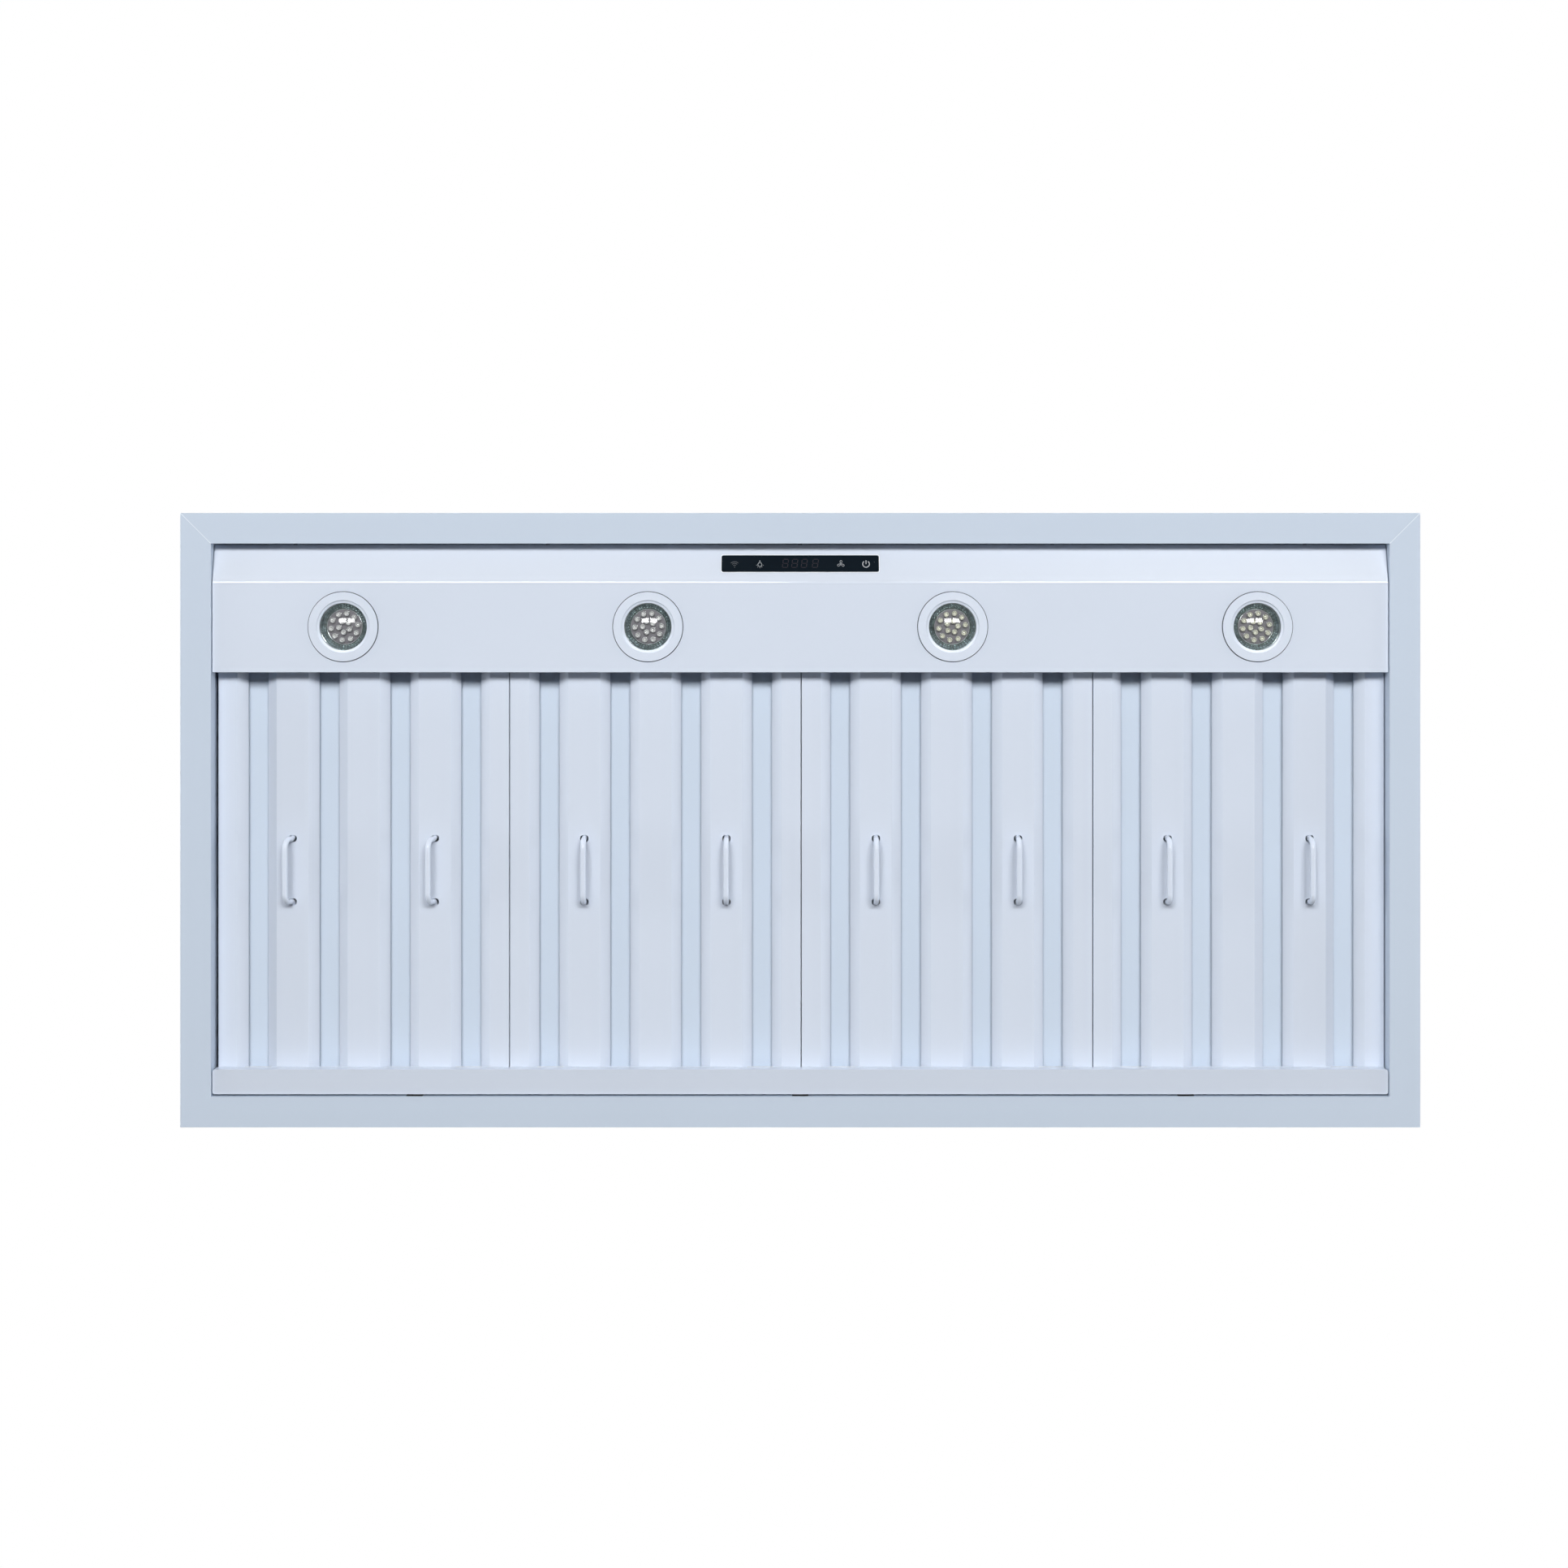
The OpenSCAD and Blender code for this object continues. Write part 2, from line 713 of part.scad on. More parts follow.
// A handle, drawn with its feet on the x = 0, z = 0 axis
module handle_form() {
    leg_y = handle_span / 2;
    for (s = [0, 1]) mirror([0, s, 0]) {
        translate([0, leg_y + foot_bend, 0]) rotate([-90, 0, 0])
            cylinder(r = wire_r, h = foot_len, $fn = round_fn);
        translate([0, leg_y + foot_bend, -foot_bend]) wire_bend(foot_bend, 90);
        translate([0, leg_y, -handle_l + handle_bend])
            cylinder(r = wire_r, h = handle_l - handle_bend - foot_bend, $fn = round_fn);
        translate([0, leg_y - handle_bend, -handle_l + handle_bend]) wire_bend(handle_bend, -90);
        translate([0, 0, -handle_l]) rotate([-90, 0, 0])
            cylinder(r = wire_r, h = leg_y - handle_bend, $fn = round_fn);
    }
}

module filter_part(i, part) {
    side = part == "handle_left" ? -1 : 1;
    lean = i == 1 ? handle_lean : 0;
    if (part == "frame") color(coat) from_rim()
        translate([filter_x(i), 0, filter_h]) filter_frame_form();
    if (part == "upper_baffles") color(coat) from_rim()
        translate([filter_x(i), 0, filter_h]) upper_baffles_form();
    if (part == "handle_left" || part == "handle_right") color(trim_coat) from_rim()
        translate([filter_x(i) + side * baffle_pitch, -handle_y, pivot_h])
            rotate([0, lean, 0]) handle_form();
}

// The comb of tabs behind the trough that carries the filters' rear ends
module rear_ledge() {
    tab_l = ledge_t + end_clear + filter_shift + end_lap;
    tab_x = filter_w / 2 - 40;
    web_w = opening_w - 4;
    color(coat) from_rim() {
        translate([-web_w / 2, rear_edge_y - ledge_t, ledge_top - ledge_t])
            cube([web_w, ledge_t, return_h - ledge_top + ledge_t]);
        for (i = [1:filter_n], s = [-1, 1])
            translate([filter_x(i) + s * tab_x - ledge_tab_w / 2, rear_edge_y - tab_l, ledge_top - ledge_t])
                cube([ledge_tab_w, tab_l, ledge_t]);
    }
}

// Grease trough

module trough_plan(t) {
    corner = trough_corner - t;
    translate([0, trough_front_y + trough_d / 2]) {
        for (x = [-1, 1], y = [-1, 1])
            translate([x * (trough_w / 2 - trough_corner), y * (trough_d / 2 - trough_corner)])
                circle(corner, $fn = round_fn);
        square([trough_w - 2 * t, trough_d - 2 * trough_corner], center = true);
        square([trough_w - 2 * trough_corner, trough_d - 2 * t], center = true);
    }
}

module grease_trough() {
    color(coat) from_rim() translate([0, 0, panel_h]) difference() {
        linear_extrude(trough_h) trough_plan(0);
        translate([0, 0, trough_t]) linear_extrude(trough_h) trough_plan(trough_t);
    }
}

// Three leaf springs on the rear return wall that grip the trough
module trough_clips() {
    clip_w = 16;
    clip_h = 10;
    clip_t = 0.5;
    clip_gap = 0.3;
    clip_pitch = 380;
    bump_r = trough_gap - clip_t - clip_gap;
    color(zinc) from_rim() for (i = [-1:1])
        translate([i * clip_pitch, rear_edge_y, panel_h + trough_h / 2]) {
            translate([-clip_w / 2, -clip_t, -clip_h / 2]) cube([clip_w, clip_t, clip_h]);
            intersection() {
                translate([0, -clip_t, 0]) rod_x(bump_r, -clip_w / 2, clip_w / 2);
                translate([-clip_w / 2, -trough_gap, -clip_h / 2])
                    cube([clip_w, trough_gap, clip_h]);
            }
        }
}

// Blower, its axis along the width

module at_axis() {
    from_rim() translate([0, axis_y, axis_h]) children();
}

// The spiral seen along the axis, grown by t: three quarter arcs, each of a larger radius,
// round centres that step so that the arcs meet, and the outlet above the last one
module scroll_plan(t) {
    g = scroll_grow;
    r0 = scroll_r + t;
    wide = 2 * scroll_reach;
    circle(r0);
    intersection() {
        translate([g, 0]) circle(r0 + g);
        translate([g - wide, -wide]) square(wide);
    }
    intersection() {
        translate([g, g]) circle(r0 + 2 * g);
        translate([g, g - wide]) square(wide);
    }
    translate([scroll_reach - outlet_d - t, g])
        square([outlet_d + 2 * t, deck_h - axis_h - g]);
}

module outlet_plan(t) {
    translate([0, flue_y]) square([housing_w + 2 * t, outlet_d + 2 * t], center = true);
}

// Puts the children on each arm of the motor's bracket, with z along the arm
module arm_turns() {
    for (i = [0:arm_n - 1]) rotate([arm_turn + i * 360 / arm_n, 0, 0]) children();
}

module arm_sites() {
    arm_turns() translate([0, 0, arm_hole_r]) children();
}

module blower_housing() {
    color(zinc) {
        at_axis() difference() {
            along_x(2 * housing_half) scroll_plan(housing_t);
            along_x(housing_w) scroll_plan(0);
            translate([-housing_w / 2, scroll_reach - outlet_d, scroll_r])
                cube([housing_w, outlet_d, deck_h]);
            rod_x(throat_r + bell_r + 1, -housing_half - 1, housing_half + 1);
            arm_sites() rod_x(screw_r + screw_gap, -housing_half - 1, -housing_w / 2 + 1);
        }
        from_rim() translate([0, 0, deck_h - flange_t]) linear_extrude(flange_t) difference() {
            outlet_plan(housing_t + outlet_flange);
            outlet_plan(0);
            deck_screw_sites() circle(screw_r + screw_gap, $fn = round_fn);
        }
    }
}

// A bell mouth, its throat reaching down into the housing and its flange on z = 0
module bell_form() {
    rotate_extrude() {
        intersection() {
            translate([throat_r + bell_r, bell_t - bell_r]) difference() {
                circle(bell_r);
                circle(bell_r - bell_t);
            }
            translate([throat_r, bell_t - bell_r]) square(bell_r);
        }
        translate([throat_r + bell_r, 0]) square([bell_edge, bell_t]);
    }
}

module inlet_rings() {
    color(zinc) at_axis() for (s = [0, 1]) mirror([s, 0, 0])
        translate([housing_half, 0, 0]) rotate([0, 90, 0]) bell_form();
}

// Section of one blade, from the rim inwards: it leaves the rim along the radius and then
// falls behind more and more, so that the blade is cupped forwards
blade_t = 0.8;
blade_steps = 6;
blade_lag = 9;
blade_curl = 1.6;
function blade_point(u) =
    let (r = wheel_r - blade_d * u, lag = blade_lag * pow(u, blade_curl))
    [r * cos(lag), r * sin(lag)];
blade_path = [for (i = [0:blade_steps]) blade_point(i / blade_steps)];

module blade_ring(length) {
    linear_extrude(length) for (i = [0:blade_n - 1]) rotate(i * 360 / blade_n)
        bent_sheet(blade_path, blade_t);
}

module wheel_rim(x_low) {
    translate([x_low, 0, 0]) rotate([0, 90, 0]) linear_extrude(wheel_disc_t) difference() {
        circle(wheel_r + 1);
        circle(wheel_r - blade_d / 2);
    }
}

module blower_wheel() {
    color([0.6, 0.62, 0.65]) at_axis() difference() {
        union() {
            rod_x(wheel_r + 1, -wheel_disc_t / 2, wheel_disc_t / 2);
            rod_x(hub_r, -hub_half, hub_half);
            wheel_rim(-wheel_half);
            wheel_rim(wheel_half - wheel_disc_t);
            translate([-wheel_half + wheel_disc_t, 0, 0]) rotate([0, 90, 0])
                blade_ring(2 * (wheel_half - wheel_disc_t));
        }
        rod_x(shaft_r, -hub_half - 1, hub_half + 1);
    }
}

module blower_shaft() {
    color([0.7, 0.7, 0.72]) at_axis()
        rod_x(shaft_r, motor_front_x - shaft_in, hub_half + shaft_out);
}

// A drum with rounded-off ends and a groove where its two halves meet
module motor() {
    end_r = motor_r - 6;
    end_l = 8;
    groove_d = 1.5;
    groove_x = 60;
    groove_w = 4;
    bore_r = shaft_r + shaft_gap;
    bore_end = shaft_in + 2;
    color(dark) at_axis() translate([motor_front_x, 0, 0]) rotate([0, -90, 0])
        rotate_extrude() polygon([
            [bore_r, 0], [end_r, 0], [motor_r, end_l], [motor_r, groove_x],
            [motor_r - groove_d, groove_x + 1], [motor_r - groove_d, groove_x + groove_w - 1],
            [motor_r, groove_x + groove_w], [motor_r, motor_len - end_l], [end_r, motor_len],
            [0, motor_len], [0, bore_end], [bore_r, bore_end]]);
}

// Three arms from a ring round the motor to the side of the housing
module motor_bracket() {
    ring_t = 2;
    ring_w = 14;
    arm_w = 14;
    foot_r = 7;
    color(zinc) at_axis() difference() {
        union() {
            rod_x(motor_r + ring_t, arm_x - ring_w + arm_t, arm_x + arm_t);
            arm_turns() translate([arm_x, -arm_w / 2, motor_r])
                cube([arm_t, arm_w, arm_hole_r - motor_r]);
            arm_sites() rod_x(foot_r, arm_x, -housing_half);
        }
        rod_x(motor_r, arm_x - ring_w, arm_x + arm_t + 1);
        arm_sites() rod_x(screw_r + screw_gap, arm_x - 1, -housing_half + 1);
    }
}

// Four screws clamp the collar, the canopy's top and the housing; three hold the motor's arms
module blower_screws() {
    color(zinc) {
        from_rim() translate([0, 0, canopy_h + collar_t]) deck_screw_sites()
            screw(collar_t + shell_t + flange_t + thread_out);
        at_axis() arm_sites() translate([arm_x, 0, 0]) rotate([0, -90, 0])
            screw(-housing_w / 2 - arm_x + thread_out);
    }
}

// Exhaust collar and its butterfly damper

module at_pin() {
    from_rim() translate([0, flue_y, pin_h]) children();
}

module exhaust_collar() {
    stop_w = 10;
    stop_d = 6;
    stop_t = 2;
    stop_gap = 0.3;
    color(zinc) {
        from_rim() translate([0, flue_y, canopy_h]) difference() {
            union() {
                linear_extrude(collar_t) square(2 * collar_plate, center = true);
                cylinder(r = collar_r, h = collar_h);
            }
            translate([0, 0, -1]) cylinder(r = collar_r - collar_t, h = collar_h + 2);
            translate([0, -flue_y, -1]) linear_extrude(collar_t + 2)
                deck_screw_sites() circle(screw_r + screw_gap, $fn = round_fn);
            translate([0, 0, pin_rise])
                rod_x(pin_r + pin_gap, -collar_r - 1, collar_r + 1);
        }
        // Stops that the closed flaps lie on
        at_pin() intersection() {
            for (s = [-1, 1])
                translate([0, s * (collar_r - stop_d / 2), -flap_t / 2 - stop_gap - stop_t / 2])
                    cube([stop_w, stop_d, stop_t], center = true);
            cylinder(r = collar_r - collar_t / 2, h = 4 * stop_t, center = true);
        }
    }
}

// The pin ends just inside the collar's outer face, so that the duct slides over it
module damper_pin() {
    pin_sunk = 0.2;
    color(zinc) at_pin() rod_x(pin_r, -collar_r + pin_sunk, collar_r - pin_sunk);
}

flap_r = collar_r - collar_t - flap_gap;
knuckle_n = 4;
knuckle_w = 30;
knuckle_step = 40;

// A half disc with knuckles round the pin; first says which knuckle place it starts at
module damper_flap(first) {
    places = [first:2:knuckle_n - 1];
    difference() {
        union() {
            translate([0, 0, -flap_t / 2]) linear_extrude(flap_t) intersection() {
                circle(flap_r);
                translate([-flap_r, knuckle_r + knuckle_gap]) square([2 * flap_r, flap_r]);
            }
            for (k = places) translate([knuckle_x(k), 0, 0]) {
                rod_x(knuckle_r, -knuckle_w / 2, knuckle_w / 2);
                translate([-knuckle_w / 2, 0, -flap_t / 2])
                    cube([knuckle_w, knuckle_r + 1, flap_t]);
            }
        }
        rod_x(pin_r + pin_gap, -flap_r, flap_r);
    }
}

function knuckle_x(k) = (k - (knuckle_n - 1) / 2) * knuckle_step;

module damper_flap_front() {
    color([0.66, 0.67, 0.69]) at_pin() rotate([0, 0, 180]) damper_flap(0);
}

module damper_flap_rear() {
    color([0.66, 0.67, 0.69]) at_pin() damper_flap(0);
}

// Flue covers, drawn in plan and open to the wall

// Plan of a cover whose outer faces are drawn in by inset
function cover_path(inset) =
    let (x = flue_w / 2 - inset, back = -inset, front = -flue_d + inset)
    [[-x + flue_lip, back], [-x, back], [-x, front], [x, front], [x, back], [x - flue_lip, back]];

upper_inset = flue_t + flue_gap;
upper_low = canopy_h + lower_h + upper_shows - upper_h;
upper_top = upper_low + upper_h;
bracket_h = 24;
bracket_t = 1.5;
bracket_arm = 30;
bracket_low = upper_top - bracket_h - 6;
bracket_half = flue_w / 2 - upper_inset - flue_t;

module flue_lower() {
    color(coat) from_rim() translate([0, 0, canopy_h]) linear_extrude(lower_h)
        bent_sheet(cover_path(0), flue_t);
}

bracket_back = -upper_inset - flue_t;

module flue_screw_sites() {
    for (s = [0, 1]) mirror([s, 0, 0])
        translate([flue_w / 2 - upper_inset, bracket_back - bracket_arm / 2, bracket_low + bracket_h / 2])
            rotate([0, 90, 0]) children();
}

module flue_upper() {
    vent_l = 60;
    vent_h = 5;
    vent_step = 11;
    vent_top = upper_top - 40;
    color(coat) from_rim() difference() {
        translate([0, 0, upper_low]) linear_extrude(upper_h)
            bent_sheet(cover_path(upper_inset), flue_t);
        for (i = [0:vent_n - 1])
            translate([-flue_w / 2, flue_y - vent_l / 2, vent_top - i * vent_step])
                cube([flue_w, vent_l, vent_h]);
        flue_screw_sites() translate([0, 0, -flue_t - 1])
            cylinder(r = screw_r + screw_gap, h = flue_t + 2, $fn = round_fn);
    }
}

// The bracket that holds the upper cover to the wall under the ceiling
module ceiling_bracket() {
    front = bracket_back - bracket_arm;
    color(zinc) from_rim() difference() {
        translate([0, 0, bracket_low]) linear_extrude(bracket_h) bent_sheet([
            [bracket_half, front], [bracket_half, bracket_back],
            [-bracket_half, bracket_back], [-bracket_half, front]], bracket_t);
        flue_screw_sites() translate([0, 0, -flue_t - bracket_t - 1])
            cylinder(r = screw_r + screw_gap, h = bracket_t + 2, $fn = round_fn);
    }
}

module flue_screws() {
    color(zinc) from_rim() flue_screw_sites() screw(flue_t + bracket_t + thread_out);
}

// Electrical boxes

// A thin box standing on z = 0, with its lid as a second solid on top
module lidded_box(w, d, h, hole_r) {
    difference() {
        translate([-w / 2, -d / 2, 0]) cube([w, d, h]);
        translate([-w / 2 + box_t, -d / 2 + box_t, box_t]) cube([w - 2 * box_t, d - 2 * box_t, h]);
    }
    translate([0, 0, h]) difference() {
        translate([-w / 2, -d / 2, 0]) cube([w, d, lid_t]);
        if (hole_r > 0) translate([0, 0, -1]) cylinder(r = hole_r, h = lid_t + 2);
    }
}

module junction_box() {
    color(zinc) from_rim() translate([box_x, box_y, canopy_h])
        lidded_box(box_w, box_d, box_h, cable_r);
}

// The driver of the lamps and the blower, on the back panel
module power_box() {
    power_w = 150;
    power_h = 70;
    power_d = 42;
    power_x = 220;
    power_z = 115;
    color(dark) from_rim() translate([power_x, -back_t, power_z]) rotate([90, 0, 0])
        lidded_box(power_w, power_h, power_d, 0);
}

canopy_shell();
back_panel();
light_panel();
light_panel_screws();
rear_ledge();
control_glass();
control_housing();
for (i = [1:lamp_n], p = ["trim", "bulb", "leds", "glass"])
    lamp_part(i, p);
for (i = [1:filter_n], p = ["frame", "upper_baffles", "handle_left", "handle_right"])
    filter_part(i, p);
grease_trough();
trough_clips();
blower_housing();
inlet_rings();
blower_wheel();
blower_shaft();
motor();
motor_bracket();
blower_screws();
exhaust_collar();
damper_pin();
damper_flap_front();
damper_flap_rear();
flue_lower();
flue_upper();
ceiling_bracket();
flue_screws();
junction_box();
power_box();
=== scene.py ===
# %% [markdown]
# # A white range hood, dressed from its metalwork
#
# The hood hangs on a wall over a range. Its sheets, lamps, filters and blower come from the
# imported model, which is loaded first and never moved. Every later cell either gives one of
# those parts a finish or makes a finer piece that stands for it.

# %% Load the metalwork
import json
from math import cos, degrees, pi, radians, sin

import bmesh
import bpy
from mathutils import Matrix, Vector

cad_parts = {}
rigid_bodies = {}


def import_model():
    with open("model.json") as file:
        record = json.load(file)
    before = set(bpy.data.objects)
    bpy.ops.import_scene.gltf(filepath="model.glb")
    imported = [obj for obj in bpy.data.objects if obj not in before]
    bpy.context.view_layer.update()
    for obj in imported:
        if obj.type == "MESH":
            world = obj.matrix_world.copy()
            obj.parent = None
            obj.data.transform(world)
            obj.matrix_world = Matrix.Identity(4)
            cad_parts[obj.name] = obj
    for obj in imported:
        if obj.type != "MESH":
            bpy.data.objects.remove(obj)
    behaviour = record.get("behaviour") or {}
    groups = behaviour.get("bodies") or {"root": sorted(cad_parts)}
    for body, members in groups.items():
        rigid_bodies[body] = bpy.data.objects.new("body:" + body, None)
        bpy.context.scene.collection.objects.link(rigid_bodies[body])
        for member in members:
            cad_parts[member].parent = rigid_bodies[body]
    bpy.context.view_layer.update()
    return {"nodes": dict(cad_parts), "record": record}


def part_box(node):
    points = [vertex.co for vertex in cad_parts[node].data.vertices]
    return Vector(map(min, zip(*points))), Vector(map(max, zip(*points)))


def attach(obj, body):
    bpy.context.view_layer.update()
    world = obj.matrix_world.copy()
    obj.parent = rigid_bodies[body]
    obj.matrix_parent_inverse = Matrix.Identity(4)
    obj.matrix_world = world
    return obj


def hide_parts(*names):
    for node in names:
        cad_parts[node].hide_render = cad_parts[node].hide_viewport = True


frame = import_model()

# %% [markdown]
# ## Sizes
#
# Blender works in metres and a hood is measured in millimetres, so one name turns one into
# the other. What the parts already know is read from their boxes. The few sizes that a box
# can't tell, such as the radius of a bend, are named where they are first needed.

# %% Units and places
MM = 0.001
rim_low, rim_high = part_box("canopy_shell")
panel_low, panel_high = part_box("light_panel")
rim_z = rim_low.z
lamp_count = 4
filter_count = 4


def centre(node):
    """The middle of a part's box."""
    low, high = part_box(node)
    return (low + high) / 2


print("rim is", round(1000 * (rim_high.x - rim_low.x)), "by", round(-1000 * rim_low.y), "mm")

# %% [markdown]
# ## Writing node webs as sums
#
# A material is a small web of nodes, and so is a Geometry Nodes tree. Written out, one
# addition is six lines of node calls, so a `Wire` stands for a socket and knows how to add,
# subtract and multiply itself. A `Web` makes any other node from a type, its settings and
# what goes into its sockets.


# %% Wires and webs
class Wire:
    """One output socket of a web, used in sums."""

    def __init__(self, web, socket):
        self.web, self.socket = web, socket

    def maths(self, operation, *values):
        """One Math node on some values or wires."""
        return self.web.node("ShaderNodeMath", {"operation": operation}, dict(enumerate(values)))

    def __add__(self, other):
        return self.maths("ADD", self, other)

    def __sub__(self, other):
        return self.maths("SUBTRACT", self, other)

    def __rsub__(self, other):
        return self.maths("SUBTRACT", other, self)

    def __mul__(self, other):
        return self.maths("MULTIPLY", self, other)

    def __lt__(self, other):
        return self.maths("LESS_THAN", self, other)

    def __abs__(self):
        return self.maths("ABSOLUTE", self)

    def __pow__(self, other):
        return self.maths("POWER", self, other)

    __radd__ = __add__
    __rmul__ = __mul__


class Web:
    """A node tree that is filled node by node."""

    def __init__(self, tree):
        self.tree = tree
        tree.nodes.clear()

    def node(self, kind, settings=None, sockets=None, out=0):
        """Makes a node: settings first, then values or wires by socket name or number."""
        made = self.tree.nodes.new(kind)
        for key, value in (settings or {}).items():
            setattr(made, key, value)
        for key, value in (sockets or {}).items():
            if isinstance(value, Wire):
                self.tree.links.new(value.socket, made.inputs[key])
            else:
                made.inputs[key].default_value = value
        return Wire(self, made.outputs[out]) if len(made.outputs) else made

    def rays(self, kind):
        """1 where a ray is of a kind, such as one that comes from the camera."""
        return self.node("ShaderNodeLightPath", None, None, kind)


print("wires and webs are ready")

# %% [markdown]
# ## Looks
#
# A `Look` is one material. All patterns are laid out in the hood's own metres, so they keep
# their size on every part and never slide when the camera moves.


# %% Looks
class Look(Web):
    """One material and its web of nodes."""

    def __init__(self, name):
        self.material = bpy.data.materials.new(name)
        self.material.use_nodes = True
        super().__init__(self.material.node_tree)

    def place(self):
        """The point's own place on the object, in metres."""
        return self.node("ShaderNodeTexCoord", out="Object")

    def axes(self):
        """The place's three numbers as wires."""
        split = self.node("ShaderNodeSeparateXYZ", None, {0: self.place()}).socket.node
        return [Wire(self, split.outputs[i]) for i in range(3)]

    def noise(self, size, detail=2.0, stretch=None):
        """Cloudy noise whose lumps are about size metres across, from 0 to 1."""
        where = self.place()
        if stretch:
            where = self.node("ShaderNodeMapping", None, {"Vector": where, "Scale": stretch})
        return self.node("ShaderNodeTexNoise", None, {
            "Vector": where, "Scale": 1 / size, "Detail": detail}, "Fac")

    def blend(self, share, first, second):
        """A colour between two others."""
        mixed = self.node("ShaderNodeMix", {"data_type": "RGBA"}, {0: share, 6: first, 7: second})
        return Wire(self, mixed.socket.node.outputs[2])

    def bump(self, height, depth):
        """A normal that rises with height, depth metres at most."""
        return self.node("ShaderNodeBump", None, {
            "Height": height, "Distance": depth, "Strength": 1.0})

    def finish(self, **sockets):
        """Ends the look in one Principled shader and gives back the material."""
        names = {key.replace("_", " "): value for key, value in sockets.items()}
        shader = self.node("ShaderNodeBsdfPrincipled", None, names)
        self.node("ShaderNodeOutputMaterial", None, {"Surface": shader})
        return self.material


def rgb(red, green, blue):
    """A colour in linear light, from 0 to 1, as the sockets take it."""
    return (red, green, blue, 1.0)


def times(colour, factor):
    """A colour made lighter or darker."""
    return rgb(*(part * factor for part in colour[:3]))


print("looks are ready")

# %% [markdown]
# ## Powder coat
#
# Nearly all that shows is sheet steel with a cool white powder coat. The powder melts into a
# skin with a faint ripple that painters call orange peel, a millimetre or two from wave to
# wave. Two noises make it: a small one only bends the light, and a broad one shifts colour
# and shine by a percent or two, because the coat is never quite even. Two sheets carry
# something of their own: the canopy's rim gets a painted highlight along the mitres at its
# front corners, and the light panel's crease is rubbed glossy, with painted shade on the
# sheet in front of it. A function draws each of these over the plain coat.


# %% How a coat is made
coat_white = rgb(0.69, 0.755, 0.865)
rim_white = rgb(0.583, 0.665, 0.777)
# painted highlight colour for the bright lines along the rim's mitre joints
painted_seam_highlight = rgb(0.84, 0.90, 0.97)
cloud_size = 140 * MM
cloud_shift = 0.015
gloss_shift = 0.10
coat_index = 1.5


def powder_coat(name, colour, roughness=0.22, peel=1.6 * MM, depth=0.005 * MM, shine=0.5,
                marks=None):
    """A satin powder coat; marks draws what is special to one sheet over its colour."""
    look = Look(name)
    clouds = look.noise(cloud_size, detail=3)
    grain = look.noise(peel, detail=2)
    shade = look.blend(clouds, times(colour, 1 - cloud_shift), times(colour, 1 + cloud_shift))
    shade, extra = marks(look, shade, *look.axes()) if marks else (shade, {})
    return look.finish(
        Base_Color=shade, Roughness=roughness + (clouds - 0.5) * gloss_shift,
        Normal=look.bump(grain, depth), IOR=coat_index, Specular_IOR_Level=shine, **extra)


def mitre_highlights(look, shade, x, y, z):
    """Painted highlights along the joints across the rim's two front corners."""
    seam_half = 0.5 * MM
    seam_highlight_share = 0.75
    rim_wide = 30 * MM
    skin = 0.3 * MM
    across = (rim_high.x - abs(x)) - (y - rim_low.y)
    seam = (abs(across) < seam_half) * (y < rim_low.y + rim_wide) * (z < rim_z + skin)
    # the seam is coloured brighter: a painted highlight, not a change in the coat
    return look.blend(seam * seam_highlight_share, shade, painted_seam_highlight), {}


def rubbed_crease_and_front_shade(look, shade, x, y, z):
    """The light panel's crease is rubbed glossy, and the sheet in front of it gets painted shade, a
    darker copy of the coat.
    """
    crease_y = -535.8 * MM
    crease_half = 2.4 * MM
    crease_gloss = 0.6
    # painted shade: the slanted sheet in front of the crease is coloured darker
    painted_front_shade = times(coat_white, 0.885)
    rubbed = abs(y - crease_y) < crease_half
    return (look.blend(y < crease_y, shade, painted_front_shade),
            {"Coat_Weight": rubbed * crease_gloss, "Coat_Roughness": 0.06})


print("powder coat is ready")

# %% [markdown]
# ## A coat for each kind of sheet
#
# All sheets are sprayed with one powder, and still no two kinds look alike. The flat rim is
# duller than the baffles, the trough is smooth from wiping, and the handles' thick skin is
# the glossiest. The upper baffles, seen only in the shade of the slots, get a bluer copy of
# the coat as painted shade. One function with other numbers makes them all, so they stay
# one family.

# %% The coats
coat_shine = 0.22
coat = powder_coat("white_coat", coat_white, shine=coat_shine)
light_panel_coat = powder_coat("light_panel_coat", coat_white, shine=coat_shine,
                               marks=rubbed_crease_and_front_shade)
# painted shade: a bluer copy of the coat for the upper baffles deep in the slots
shaded_baffle_coat = powder_coat("upper_baffle_coat", rgb(0.66, 0.755, 0.882), shine=coat_shine)
canopy_coat = powder_coat("canopy_coat", rim_white, roughness=0.45, shine=0.12, marks=mitre_highlights)
trough_coat = powder_coat("trough_coat", times(coat_white, 0.93), roughness=0.2)
trim_coat = powder_coat("trim_coat", times(coat_white, 0.98), roughness=0.36,
                        peel=0.9 * MM, depth=0.003 * MM)
handle_coat = powder_coat("handle_coat", times(coat_white, 1.03), roughness=0.18,
                          peel=1.2 * MM, depth=0.003 * MM)
coats = (coat, light_panel_coat, shaded_baffle_coat, canopy_coat, trough_coat, trim_coat, handle_coat)
print("coats:", [made.name for made in coats])

# %% [markdown]
# ## Bare metals and dark finishes
#
# Hidden parts are cheaper: zinc plated sheet with the cloudy flowers that zinc leaves as it
# sets, a bright wheel with the rolling marks of its strip, ground steel for the shaft, black
# enamel on the motor and moulded plastic on the housings.


